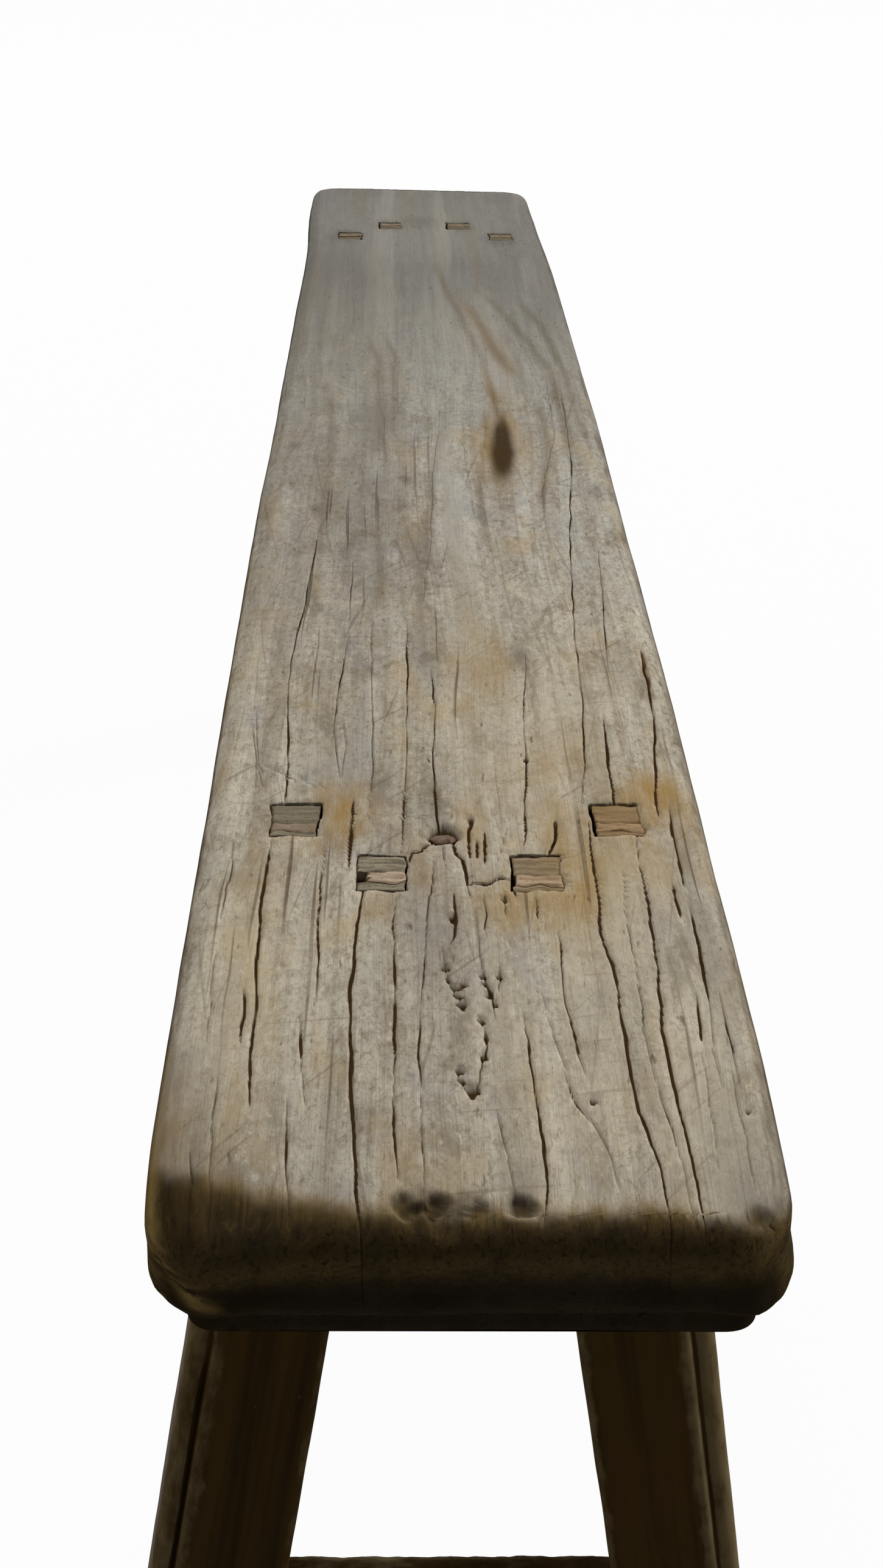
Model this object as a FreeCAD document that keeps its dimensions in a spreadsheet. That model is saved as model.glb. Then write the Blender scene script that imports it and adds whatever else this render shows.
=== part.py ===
"""Weathered elm country bench, one thick plank on four splayed legs.

Millimetres, Z up. The origin is on the floor under the middle of the seat. X runs along the
seat, with the near end at +X. Y runs across it, with the right-hand side at +Y.

Each leg carries two staggered tenons that pass through the seat and are spread by wedges. The
slot between a leg's two tenons holds the side apron. A stretcher joins the legs of each end, with
wedged tenons that pass through them.
"""
import FreeCAD
import Part
import Sketcher
import os

Vector = FreeCAD.Vector

SIZES = [
    # seat plank
    ("bench_height", 500, "floor to the top of the seat"),
    ("seat_length", 1415, "overall length"),
    ("seat_width", 198.6, "width at the two ends"),
    ("seat_bow", 4, "each long edge stands out this far half way along"),
    ("seat_body_depth", 40, "depth of the rounded upper body"),
    ("seat_band_depth", 9, "depth of the set-back band under it"),
    ("seat_corner_radius", 26, "corners in plan"),
    ("seat_top_round", 11, "worn upper edge"),
    ("seat_under_round", 9, "lower edge of the rounded body"),
    ("seat_quirk", 2, "flat step between the lower edge and the band"),
    # legs
    ("near_overhang", 173, "near end of the seat to the leg, at the underside"),
    ("far_overhang", 138, "far end of the seat to the leg, at the underside"),
    ("leg_side_inset", 12.8, "edge of the seat to the outer face of the leg, at the underside"),
    ("leg_flat_width", 48, "flat end face of a leg with its arris"),
    ("leg_quirk_width", 2.5, "groove beside the arris"),
    ("leg_quirk_depth", 3, "depth of that groove behind the arris"),
    ("leg_corner_bead", 8.5, "radius of the bead on the outer corners"),
    ("leg_bead_setback", 4.5, "bead behind the end face"),
    ("leg_arris_round", 4, "rounding of the arris"),
    ("leg_depth", 75, "along the bench"),
    ("leg_end_run", 47, "foot stands this far towards the end"),
    ("leg_side_run", 70, "foot stands this far out sideways"),
    # through tenons and their wedges
    ("fit_gap", 0.2, "clearance on each side of a joint"),
    ("tenon_outer_shoulder", 5, "outer tenon to the outer face of the leg"),
    ("tenon_end_shoulder", 6, "end faces of the leg to the tenons"),
    ("tenon_length", 24, "along the bench"),
    ("tenon_sunk", 0.6, "tenon end below the top of the seat"),
    ("wedge_depth", 34, "length of a wedge from the tenon end"),
    ("wedge_thickness", 7, "wedge at the tenon end"),
    ("wedge_tip", 2, "wedge at its lower end"),
    ("wedge_offset", 4, "wedge from the middle of the tenon towards the end"),
    ("wedge_gap", 0.12, "clearance on each side of a wedge"),
    # side aprons
    ("apron_slot", 16, "slot in the leg between the two tenons"),
    ("apron_depth", 36, "apron between the spandrels"),
    ("spandrel_drop", 30, "spandrel below the apron"),
    ("spandrel_reach", 95, "spandrel from the leg towards the middle"),
    ("apron_overrun", 38, "apron past the leg towards the end"),
    ("apron_end_round", 24, "lower corner of the apron's ends"),
    # end stretchers
    ("stretcher_top", 133, "floor to the upper face"),
    ("stretcher_height", 38, "upper to lower face"),
    ("stretcher_thickness", 28, "along the bench"),
    ("stretcher_setback", 8, "behind the end faces of the legs"),
    ("stretcher_shoulder", 7, "tenon inside each face of the stretcher"),
    ("stretcher_wedge_depth", 26, "length of the wedge in a stretcher tenon"),
    ("stretcher_wedge_thickness", 5, "that wedge at the tenon end"),
    ("stretcher_wedge_tip", 1.5, "that wedge at its inner end"),
    # forged nail in the near half of the seat
    ("nail_from_near_end", 222, "near end of the seat to the nail"),
    ("nail_left_of_centre", 5.5, "centre line to the nail"),
    ("nail_head_diameter", 11, "hammered head"),
    ("nail_head_height", 3, "head on its axis"),
    ("nail_hollow", 2, "crushed rim around the head"),
    ("nail_shank", 5, "square shank under the head"),
    ("nail_tip", 1.4, "square shank at its tip"),
    ("nail_shank_length", 40, "under the head"),
]


class Size:
    """A number together with the sheet expression that gives it."""

    def __init__(self, value, text):
        self.value = value
        self.text = text

    @staticmethod
    def of(other):
        if isinstance(other, Size):
            return other
        return Size(float(other), "(%s)" % other)

    def joined(self, other, sign, value):
        return Size(value, "(%s %s %s)" % (self.text, sign, other.text))

    def __add__(self, other):
        other = Size.of(other)
        return self.joined(other, "+", self.value + other.value)

    def __sub__(self, other):
        other = Size.of(other)
        return self.joined(other, "-", self.value - other.value)

    def __mul__(self, other):
        other = Size.of(other)
        return self.joined(other, "*", self.value * other.value)

    def __truediv__(self, other):
        other = Size.of(other)
        return self.joined(other, "/", self.value / other.value)

    def __neg__(self):
        return Size(-self.value, "(0 - %s)" % self.text)


doc = FreeCAD.newDocument("bench")
sheet = doc.addObject("Spreadsheet::Sheet", "Sizes")
size = {}
for row, (alias, number, note) in enumerate(SIZES, start=1):
    sheet.set("A%d" % row, note)
    sheet.set("B%d" % row, str(number))
    sheet.setAlias("B%d" % row, alias)
    size[alias] = Size(float(number), "Sizes." + alias)
doc.recompute()

# Values that follow from the sheet.
half_length = size["seat_length"] / 2
seat_depth = size["seat_body_depth"] + size["seat_band_depth"]
rise = size["bench_height"] - seat_depth
underside = rise
band_inset = size["seat_under_round"] + size["seat_quirk"]
leg_middle = (size["far_overhang"] - size["near_overhang"]) / 2
leg_face = half_length - size["near_overhang"]
leg_back = leg_face - size["leg_depth"]
leg_width = size["leg_flat_width"] + size["leg_quirk_width"] + size["leg_corner_bead"]
leg_outer = size["seat_width"] / 2 - size["leg_side_inset"]
leg_inner = leg_outer - leg_width
end_slope = size["leg_end_run"] / rise
side_slope = size["leg_side_run"] / rise
tenon_width = (leg_width - size["tenon_outer_shoulder"] - size["apron_slot"]) / 2
inner_tenon_y = leg_inner
slot_y = inner_tenon_y + tenon_width
outer_tenon_y = slot_y + size["apron_slot"]
inner_tenon_x = leg_face - size["tenon_end_shoulder"]
outer_tenon_x = leg_back + size["tenon_end_shoulder"] + size["tenon_length"]
tenon_height = seat_depth - size["tenon_sunk"]
tenon_end = underside + tenon_height
spandrel_depth = size["apron_depth"] + size["spandrel_drop"]


def along(x, z):
    """X of a leaning line of the leg at height z, from its X at the underside of the seat."""
    return x + end_slope * (underside - z)


def across(y, z):
    """Y of a leaning line of the leg at height z, from its Y at the underside of the seat."""
    return y + side_slope * (underside - z)


def new_body(name):
    body = doc.addObject("PartDesign::Body", name)
    body.Label = name
    return body


def sketch_on(body, name, role, level):
    """Empty sketch on one of the body's own planes, moved along its normal."""
    plane = [f for f in body.Origin.OriginFeatures if f.Role == role][0]
    sketch = body.newObject("Sketcher::SketchObject", body.Name + "_" + name)
    sketch.AttachmentSupport = (plane, [""])
    sketch.MapMode = "FlatFace"
    sketch.setExpression("AttachmentOffset.Base.z", Size.of(level).text)
    return sketch


def pin(sketch, kind, geometry, point, amount):
    index = sketch.addConstraint(Sketcher.Constraint(kind, -1, 1, geometry, point, amount.value))
    sketch.setExpression("Constraints[%d]" % index, amount.text)


def outline(sketch, corners, arcs=None):
    """Closed counterclockwise outline through the corners.

    arcs names the radius of the sides that are arcs, by the number of the corner they start at.
    """
    arcs = arcs or {}
    points = [Vector(Size.of(x).value, Size.of(y).value, 0) for x, y in corners]
    sides = []
    for i, start in enumerate(points):
        end = points[(i + 1) % len(points)]
        if i in arcs:
            chord = end - start
            radius = arcs[i].value
            outward = Vector(chord.y, -chord.x, 0).normalize()
            to_centre = max(radius ** 2 - chord.Length ** 2 / 4, 0) ** 0.5
            middle = (start + end) / 2 + outward * (radius - to_centre)
            shape = Part.Arc(start, middle, end)
        else:
            shape = Part.LineSegment(start, end)
        sides.append(sketch.addGeometry(shape, False))
    for i, side in enumerate(sides):
        sketch.addConstraint(Sketcher.Constraint("Coincident", side, 2, sides[(i + 1) % len(sides)], 1))
    for i, side in enumerate(sides):
        x, y = corners[i]
        pin(sketch, "DistanceX", side, 1, Size.of(x))
        pin(sketch, "DistanceY", side, 1, Size.of(y))
        if i in arcs:
            index = sketch.addConstraint(Sketcher.Constraint("Radius", side, arcs[i].value))
            sketch.setExpression("Constraints[%d]" % index, arcs[i].text)


def rectangle(x0, x1, y0, y1):
    return [(x0, y0), (x1, y0), (x1, y1), (x0, y1)]


def slanted(feature, sketch, direction, length):
    """Pad or pocket that runs along a leaning direction, its length taken square to the sketch."""
    feature.Profile = sketch
    feature.UseCustomVector = True
    feature.AlongSketchNormal = True
    feature.Direction = Vector(*[Size.of(part).value for part in direction])
    for axis, part in zip("xyz", direction):
        feature.setExpression("Direction." + axis, Size.of(part).text)
    feature.setExpression("Length", length.text)
    doc.recompute()
    return feature


def loft(body, name, kind, level_a, corners_a, level_b, corners_b):
    """Straight-sided block between two level outlines."""
    first = sketch_on(body, name + "_a", "XY_Plane", level_a)
    outline(first, corners_a)
    second = sketch_on(body, name + "_b", "XY_Plane", level_b)
    outline(second, corners_b)
    doc.recompute()
    feature = body.newObject(kind, body.Name + "_" + name)
    feature.Profile = first
    feature.Sections = [second]
    feature.Ruled = True
    doc.recompute()
    return feature


def fillet(body, name, radius, wanted):
    """Fillet on the edges of the tip that the test picks out."""
    base = body.Tip
    edges = ["Edge%d" % n for n, edge in enumerate(base.Shape.Edges, start=1) if wanted(edge)]
    feature = body.newObject("PartDesign::Fillet", body.Name + "_" + name)
    feature.Base = (base, edges)
    feature.Radius = radius.value
    feature.setExpression("Radius", radius.text)
    doc.recompute()
    return feature


def upright(edge):
    ends = [v.Point for v in edge.Vertexes]
    return len(ends) == 2 and (ends[0] - ends[1]).cross(Vector(0, 0, 1)).Length < 0.01


def level_at(height):
    def test(edge):
        box = edge.BoundBox
        return abs(box.ZMin - height.value) < 0.01 and abs(box.ZMax - height.value) < 0.01
    return test


def bowed_outline(inset):
    """Plan of the seat inside its edge: straight ends and long sides bowed to arcs."""
    x = half_length - inset
    end_y = size["seat_width"] / 2 - inset
    bow = size["seat_bow"]
    radius = (x * x + bow * bow) / (bow * 2)
    corners = [(x, -end_y), (x, end_y), (-x, end_y), (-x, -end_y)]
    return corners, {1: radius, 3: radius}


def rounded_outline(inset, corner):
    """The same plan with quarter rounds at the corners."""
    (x, end_y), radii = bowed_outline(inset)[0][1], bowed_outline(inset)[1]
    corners = [
        (x, corner - end_y), (x, end_y - corner),
        (x - corner, end_y), (corner - x, end_y),
        (-x, end_y - corner), (-x, corner - end_y),
        (corner - x, -end_y), (x - corner, -end_y),
    ]
    return corners, {1: corner, 2: radii[1], 3: corner, 5: corner, 6: radii[1], 7: corner}


def mirrored(source, name, normal):
    """Mirror image across the middle of the bench, or of its legs lengthwise."""
    image = doc.addObject("Part::Mirroring", name)
    image.Label = name
    image.Source = source
    image.Normal = normal
    image.Base = Vector(leg_middle.value, 0, 0)
    image.setExpression("Base.x", leg_middle.text)
    doc.recompute()
    return image


def four_corners(pattern, source):
    """The near right piece and its images at the other three corners."""
    near_left = mirrored(source, pattern % "near_left", Vector(0, 1, 0))
    far_right = mirrored(source, pattern % "far_right", Vector(1, 0, 0))
    far_left = mirrored(near_left, pattern % "far_left", Vector(1, 0, 0))
    return [source, near_left, far_right, far_left]


def tenon_plan(x, y, gap, end=1, side=1):
    """Level section of a tenon at the underside of the seat, at any of the four corners."""
    x_pair = [x - size["tenon_length"] - gap, x + gap]
    y_pair = [y - gap, y + tenon_width + gap]
    if end < 0:
        x_pair = [leg_middle * 2 - x_pair[1], leg_middle * 2 - x_pair[0]]
    if side < 0:
        y_pair = [-y_pair[1], -y_pair[0]]
    return rectangle(x_pair[0], x_pair[1], y_pair[0], y_pair[1])


def wedge_plan(x, y0, y1, z, half):
    """Level section of a wedge whose middle line leans with the leg."""
    middle = along(x - size["tenon_length"] / 2 + size["wedge_offset"], z)
    return rectangle(middle - half, middle + half, across(y0, z), across(y1, z))


TENONS = {
    "inner": (inner_tenon_x, inner_tenon_y),
    "outer": (outer_tenon_x, outer_tenon_y),
}


def build_seat():
    body = new_body("seat_plank")
    slab = sketch_on(body, "plan", "XY_Plane", underside + size["seat_band_depth"])
    outline(slab, *bowed_outline(Size.of(0)))
    pad = body.newObject("PartDesign::Pad", "seat_body")
    pad.Profile = slab
    pad.setExpression("Length", size["seat_body_depth"].text)
    doc.recompute()
    fillet(body, "corners", size["seat_corner_radius"], upright)
    fillet(body, "worn_edge", size["seat_top_round"], level_at(size["bench_height"]))
    fillet(body, "lower_edge", size["seat_under_round"], level_at(underside + size["seat_band_depth"]))

    band = sketch_on(body, "band_plan", "XY_Plane", underside)
    outline(band, *rounded_outline(band_inset, size["seat_corner_radius"] / 2))
    pad = body.newObject("PartDesign::Pad", "seat_band")
    pad.Profile = band
    pad.setExpression("Length", (size["seat_band_depth"] + 1).text)
    doc.recompute()

    for end, end_name in ((1, "near"), (-1, "far")):
        for side, side_name in ((1, "right"), (-1, "left")):
            plan = sketch_on(body, "mortises_%s_%s" % (end_name, side_name), "XY_Plane", underside)
            for x, y in TENONS.values():
                outline(plan, tenon_plan(x, y, size["fit_gap"], end, side))
            doc.recompute()
            pocket = body.newObject("PartDesign::Pocket", "mortises_%s_%s" % (end_name, side_name))
            up = (size["leg_end_run"] * -end, size["leg_side_run"] * -side, rise)
            slanted(pocket, plan, up, seat_depth + 1)

    x = half_length - size["nail_from_near_end"]
    y = -size["nail_left_of_centre"]
    recess = sketch_on(body, "nail_hollow", "XY_Plane", size["bench_height"])
    ring = sketch_on_circle(recess, x, y, size["nail_head_diameter"] / 2 + size["nail_hollow"])
    pocket = body.newObject("PartDesign::Pocket", "nail_hollow")
    pocket.Profile = ring
    pocket.setExpression("Length", (size["nail_head_height"] + size["tenon_sunk"]).text)
    doc.recompute()
    top = size["bench_height"] - size["nail_head_height"] - size["tenon_sunk"]
    wide = size["nail_shank"] / 2 + size["fit_gap"]
    narrow = size["nail_tip"] / 2 + size["fit_gap"]
    loft(body, "nail_hole", "PartDesign::SubtractiveLoft",
         top, rectangle(x - wide, x + wide, y - wide, y + wide),
         top - size["nail_shank_length"] - size["fit_gap"],
         rectangle(x - narrow, x + narrow, y - narrow, y + narrow))
    return body


def sketch_on_circle(sketch, x, y, radius):
    circle = sketch.addGeometry(
        Part.Circle(Vector(x.value, y.value, 0), Vector(0, 0, 1), radius.value), False)
    pin(sketch, "DistanceX", circle, 3, x)
    pin(sketch, "DistanceY", circle, 3, y)
    index = sketch.addConstraint(Sketcher.Constraint("Radius", circle, radius.value))
    sketch.setExpression("Constraints[%d]" % index, radius.text)
    doc.recompute()
    return sketch


def leg_section():
    """Section of the near right leg: flat faces, an arris, a groove and a bead on the outer corners."""
    arris = size["leg_arris_round"]
    bead = size["leg_corner_bead"]
    setback = size["leg_bead_setback"]
    groove = size["leg_arris_round"] + size["leg_quirk_depth"]
    flat = leg_inner + size["leg_flat_width"]
    bead_y = flat + size["leg_quirk_width"]
    groove_y = flat + size["leg_quirk_width"] / 3
    corners = [
        (leg_face, leg_inner),
        (leg_face, flat - arris),
        (leg_face - arris, flat),
        (leg_face - groove, groove_y),
        (leg_face - setback, bead_y),
        (leg_face - setback - bead, leg_outer),
        (leg_back + setback + bead, leg_outer),
        (leg_back + setback, bead_y),
        (leg_back + groove, groove_y),
        (leg_back + arris, flat),
        (leg_back, flat - arris),
        (leg_back, leg_inner),
    ]
    return corners, {1: arris, 4: bead, 6: bead, 9: arris}


def build_leg():
    body = new_body("leg_near_right")
    section = sketch_on(body, "section", "XY_Plane", underside)
    outline(section, *leg_section())
    doc.recompute()
    down = (size["leg_end_run"], size["leg_side_run"], -rise)
    up = (-size["leg_end_run"], -size["leg_side_run"], rise)
    slanted(body.newObject("PartDesign::Pad", "leg_timber"), section, down, rise)

    tenons = sketch_on(body, "tenons", "XY_Plane", underside)
    for x, y in TENONS.values():
        outline(tenons, tenon_plan(x, y, Size.of(0)))
    doc.recompute()
    slanted(body.newObject("PartDesign::Pad", "leg_tenons"), tenons, up, tenon_height)

    slot = sketch_on(body, "slot", "XY_Plane", underside)
    outline(slot, rectangle(leg_back - size["leg_end_run"], leg_face + size["leg_end_run"],
                            slot_y, slot_y + size["apron_slot"]))
    doc.recompute()
    slanted(body.newObject("PartDesign::Pocket", "leg_slot"), slot, down,
            spandrel_depth + size["fit_gap"])

    for name, (x, y) in TENONS.items():
        thick = size["wedge_thickness"] / 2
        tip = size["wedge_tip"] / 2
        over = (thick - tip) / size["wedge_depth"]
        top = tenon_end + 1
        bottom = tenon_end - size["wedge_depth"]
        middle = x - size["tenon_length"] / 2 + size["wedge_offset"]
        kerf = sketch_on(body, name + "_kerf", "XZ_Plane", 0)
        outline(kerf, [
            (along(middle, bottom) - tip, bottom),
            (along(middle, bottom) + tip, bottom),
            (along(middle, top) + thick + over, top),
            (along(middle, top) - thick - over, top),
        ])
        doc.recompute()
        cut = body.newObject("PartDesign::Pocket", name + "_kerf")
        cut.Profile = kerf
        cut.Type = "ThroughAll"
        cut.Midplane = True
        doc.recompute()

    gap = size["fit_gap"]
    reach = leg_outer + size["leg_side_run"]
    lower = stretcher_tenon_low - gap
    upper = stretcher_tenon_high + gap
    back = stretcher_face - size["stretcher_thickness"] + size["stretcher_shoulder"] - gap
    front = stretcher_face - size["stretcher_shoulder"] + gap
    mortise = sketch_on(body, "stretcher_mortise", "XZ_Plane", 0)
    outline(mortise, [
        (along(back, lower), lower),
        (along(front, lower), lower),
        (along(front, upper), upper),
        (along(back, upper), upper),
    ])
    doc.recompute()
    cut = body.newObject("PartDesign::Pocket", "stretcher_mortise")
    cut.Profile = mortise
    cut.Midplane = True
    cut.setExpression("Length", (reach * 3).text)
    doc.recompute()
    return body


def build_wedge(name):
    x, y = TENONS[name]
    body = new_body("wedge_near_right_" + name)
    gap = size["wedge_gap"]
    top = tenon_end - gap
    bottom = top - size["wedge_depth"] + gap * 2
    y0 = y + gap
    y1 = y + tenon_width - gap
    loft(body, "taper", "PartDesign::AdditiveLoft",
         bottom, wedge_plan(x, y0, y1, bottom, size["wedge_tip"] / 2 - gap),
         top, wedge_plan(x, y0, y1, top, size["wedge_thickness"] / 2 - gap))
    return body


stretcher_face = leg_face - size["stretcher_setback"]
stretcher_bottom = size["stretcher_top"] - size["stretcher_height"]
stretcher_tenon_low = stretcher_bottom + size["stretcher_shoulder"]
stretcher_tenon_high = size["stretcher_top"] - size["stretcher_shoulder"]
stretcher_back = stretcher_face - size["stretcher_thickness"]


def bar_plan(back, front, y, z):
    """Level section of a bar across the bench that ends on a leaning face of each leg."""
    half = across(y, z)
    return rectangle(along(back, z), along(front, z), -half, half)


def build_stretcher():
    body = new_body("stretcher_near")
    low = stretcher_bottom
    high = size["stretcher_top"]
    loft(body, "rail", "PartDesign::AdditiveLoft",
         low, bar_plan(stretcher_back, stretcher_face, leg_inner, low),
         high, bar_plan(stretcher_back, stretcher_face, leg_inner, high))
    back = stretcher_back + size["stretcher_shoulder"]
    front = stretcher_face - size["stretcher_shoulder"]
    low = stretcher_tenon_low
    high = stretcher_tenon_high
    loft(body, "tenon", "PartDesign::AdditiveLoft",
         low, bar_plan(back, front, leg_outer, low),
         high, bar_plan(back, front, leg_outer, high))
    for side, name in ((1, "right_kerf"), (-1, "left_kerf")):
        kerf = sketch_on(body, name, "YZ_Plane", 0)
        outline(kerf, stretcher_kerf(side, Size.of(0), Size.of(1)))
        doc.recompute()
        cut = body.newObject("PartDesign::Pocket", name)
        cut.Profile = kerf
        cut.Type = "ThroughAll"
        cut.Reversed = True
        doc.recompute()
    return body


def stretcher_kerf(side, gap, extra):
    """Wedge shape in the end of a stretcher tenon, seen along the bench."""
    z = (stretcher_tenon_low + stretcher_tenon_high) / 2
    thick = size["stretcher_wedge_thickness"] / 2 - gap
    tip = size["stretcher_wedge_tip"] / 2 - gap
    over = (thick - tip) / size["stretcher_wedge_depth"] * extra
    inside = across(leg_outer, z) - size["stretcher_wedge_depth"] + gap
    corners = [
        (inside, z - tip),
        (across(leg_outer, z - thick - over) + extra - gap, z - thick - over),
        (across(leg_outer, z + thick + over) + extra - gap, z + thick + over),
        (inside, z + tip),
    ]
    if side < 0:
        corners = [(-y, z) for y, z in reversed(corners)]
    return corners


def build_stretcher_wedge():
    body = new_body("stretcher_wedge_near_right")
    middle_z = (stretcher_tenon_low + stretcher_tenon_high) / 2
    gap = size["wedge_gap"]
    back = along(stretcher_back + size["stretcher_shoulder"], middle_z) + gap
    profile = sketch_on(body, "profile", "YZ_Plane", back)
    outline(profile, stretcher_kerf(1, gap, Size.of(0)))
    doc.recompute()
    width = size["stretcher_thickness"] - size["stretcher_shoulder"] * 2 - gap * 2
    pad = body.newObject("PartDesign::Pad", "stretcher_wedge_taper")
    pad.Profile = profile
    pad.setExpression("Length", width.text)
    doc.recompute()
    return body


def build_apron():
    body = new_body("apron_right")
    gap = size["fit_gap"]
    reach = leg_face - leg_middle + size["apron_overrun"]
    board = sketch_on(body, "plan", "XY_Plane", underside)
    outline(board, rectangle(leg_middle - reach, leg_middle + reach,
                             slot_y + gap, slot_y + size["apron_slot"] - gap))
    doc.recompute()
    down = (Size.of(0), size["leg_side_run"], -rise)
    slanted(body.newObject("PartDesign::Pad", "apron_board"), board, down, spandrel_depth)

    # The lower edge rises in a quarter round from each spandrel to the plain stretch.
    drop = size["spandrel_drop"]
    opening = leg_back - leg_middle - size["spandrel_reach"] + drop
    low = underside - spandrel_depth
    high = underside - size["apron_depth"]
    edge = sketch_on(body, "lower_edge", "XZ_Plane", 0)
    outline(edge, [
        (leg_middle - opening, low - 5),
        (leg_middle + opening, low - 5),
        (leg_middle + opening, low),
        (leg_middle + opening - drop, high),
        (leg_middle - opening + drop, high),
        (leg_middle - opening, low),
    ], {2: drop, 4: drop})
    doc.recompute()
    cut = body.newObject("PartDesign::Pocket", "apron_lower_edge")
    cut.Profile = edge
    cut.Type = "ThroughAll"
    cut.Midplane = True
    doc.recompute()
    far = reach.value - 0.1

    def end_corner(edge):
        box = edge.BoundBox
        at_end = min(abs(box.XMin - leg_middle.value), abs(box.XMax - leg_middle.value)) > far
        return at_end and box.ZMax < low.value + 0.01
    fillet(body, "end_round", size["apron_end_round"], end_corner)
    return body


def build_nail():
    body = new_body("seat_nail")
    x = half_length - size["nail_from_near_end"]
    y = -size["nail_left_of_centre"]
    top = size["bench_height"] - size["nail_head_height"] - size["tenon_sunk"]
    head = sketch_on_circle(sketch_on(body, "head", "XY_Plane", top), x, y,
                            size["nail_head_diameter"] / 2)
    pad = body.newObject("PartDesign::Pad", "nail_head")
    pad.Profile = head
    pad.setExpression("Length", size["nail_head_height"].text)
    doc.recompute()
    fillet(body, "head_round", size["nail_head_height"] * 0.6,
           level_at(top + size["nail_head_height"]))
    wide = size["nail_shank"] / 2
    narrow = size["nail_tip"] / 2
    loft(body, "shank", "PartDesign::AdditiveLoft",
         top, rectangle(x - wide, x + wide, y - wide, y + wide),
         top - size["nail_shank_length"],
         rectangle(x - narrow, x + narrow, y - narrow, y + narrow))
    return body


pieces = [build_seat()]
pieces += four_corners("leg_%s", build_leg())
for tenon in TENONS:
    pieces += four_corners("wedge_%s_" + tenon, build_wedge(tenon))
stretcher = build_stretcher()
pieces += [stretcher, mirrored(stretcher, "stretcher_far", Vector(1, 0, 0))]
pieces += four_corners("stretcher_wedge_%s", build_stretcher_wedge())
apron = build_apron()
pieces += [apron, mirrored(apron, "apron_left", Vector(0, 1, 0))]
pieces.append(build_nail())
doc.recompute()

for item in doc.Objects:
    if "Invalid" in item.State or "Error" in item.State:
        raise RuntimeError("%s is %s" % (item.Label, item.State))
os.makedirs("parts", exist_ok=True)
for piece in pieces:
    shape = piece.Shape
    if shape.isNull() or not shape.isValid() or len(shape.Solids) != 1:
        raise RuntimeError("%s has no single valid solid" % piece.Label)
    shape.exportStep("parts/%s.step" % piece.Label)
print("%d pieces written" % len(pieces))
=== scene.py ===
import bpy
import math
import numpy as np
from mathutils import Matrix, Vector
from types import SimpleNamespace


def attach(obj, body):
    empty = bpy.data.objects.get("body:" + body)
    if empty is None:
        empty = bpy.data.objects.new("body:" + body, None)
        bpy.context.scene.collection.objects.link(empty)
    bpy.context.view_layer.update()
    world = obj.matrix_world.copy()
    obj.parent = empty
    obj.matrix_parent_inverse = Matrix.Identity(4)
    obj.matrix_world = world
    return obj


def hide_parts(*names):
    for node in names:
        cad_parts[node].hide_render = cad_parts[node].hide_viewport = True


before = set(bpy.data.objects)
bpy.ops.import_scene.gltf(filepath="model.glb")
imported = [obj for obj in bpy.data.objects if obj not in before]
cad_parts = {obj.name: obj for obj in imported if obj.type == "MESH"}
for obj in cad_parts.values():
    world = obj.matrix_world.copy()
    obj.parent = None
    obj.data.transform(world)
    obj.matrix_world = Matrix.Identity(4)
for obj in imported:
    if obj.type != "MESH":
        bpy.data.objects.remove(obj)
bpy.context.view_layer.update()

# Shapes are worked out in millimetres, in the CAD frame: X along the bench with the near end at
# +X, Y across it, Z up from the floor. make_object turns them into metres.
MM = 0.001

# Sizes of the CAD pieces.
SEAT_TOP = 500.0
SEAT_BODY_LOW = 460.0
SEAT_UNDERSIDE = 451.0
SEAT_HALF_LENGTH = 707.5
SEAT_HALF_WIDTH = 99.3
SEAT_BOW = 4.0
SEAT_CORNER = 26.0
SEAT_TOP_ROUND = 11.0
SEAT_UNDER_ROUND = 9.0
SEAT_BAND_INSET = 11.0
LEG_MIDDLE = -17.5
LEG_FACE = 534.5
LEG_INNER = 27.5
LEG_WIDTH = 59.0
LEG_FLAT = 48.0
LEG_DEPTH = 75.0
LEG_ARRIS = 4.0
LEG_GROOVE_DEPTH = 7.0
LEG_GROOVE_WIDTH = 2.5
LEG_BEAD = 8.5
LEG_BEAD_SETBACK = 4.5
END_SLOPE = 47.0 / SEAT_UNDERSIDE
SIDE_SLOPE = 70.0 / SEAT_UNDERSIDE
TENON_WIDTH = 19.0
TENON_LENGTH = 24.0
TENON_SHOULDER = 6.0
TENON_END = 499.4
APRON_SLOT = 16.0
WEDGE_TOP = 7.0
WEDGE_TIP = 2.0
# Each wedge's distance from the middle of its tenon towards the end, and how much of its left side
# is lost.
WEDGE_OFFSETS = {"near_left_inner": 2.8, "near_right_inner": 4.6,
                 "near_left_outer": 4.8, "near_right_outer": 5.0}
WEDGE_OFFSET = 4.0
WEDGE_LOST = {"near_left_inner": 0.26, "near_right_inner": 0.08}
# Tenons whose ends are dirtier than the others.
TENON_DIRT = {"near_left_outer": 0.75}
WEDGE_DEPTH = 34.0
WEDGE_GAP = 0.12
FIT_GAP = 0.2
STRETCHER_TOP = 133.0
STRETCHER_HEIGHT = 38.0
STRETCHER_THICKNESS = 28.0
STRETCHER_SETBACK = 8.0
STRETCHER_SHOULDER = 7.0
APRON_DEPTH = 36.0
SPANDREL_DROP = 30.0
SPANDREL_REACH = 95.0
APRON_OVERRUN = 38.0
APRON_END_ROUND = 24.0
NAIL_X = 485.5
NAIL_Y = -5.5
# Dirt of the band and the underside, where the wood is darkest.
OLD_DIRT = 1.6

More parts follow.
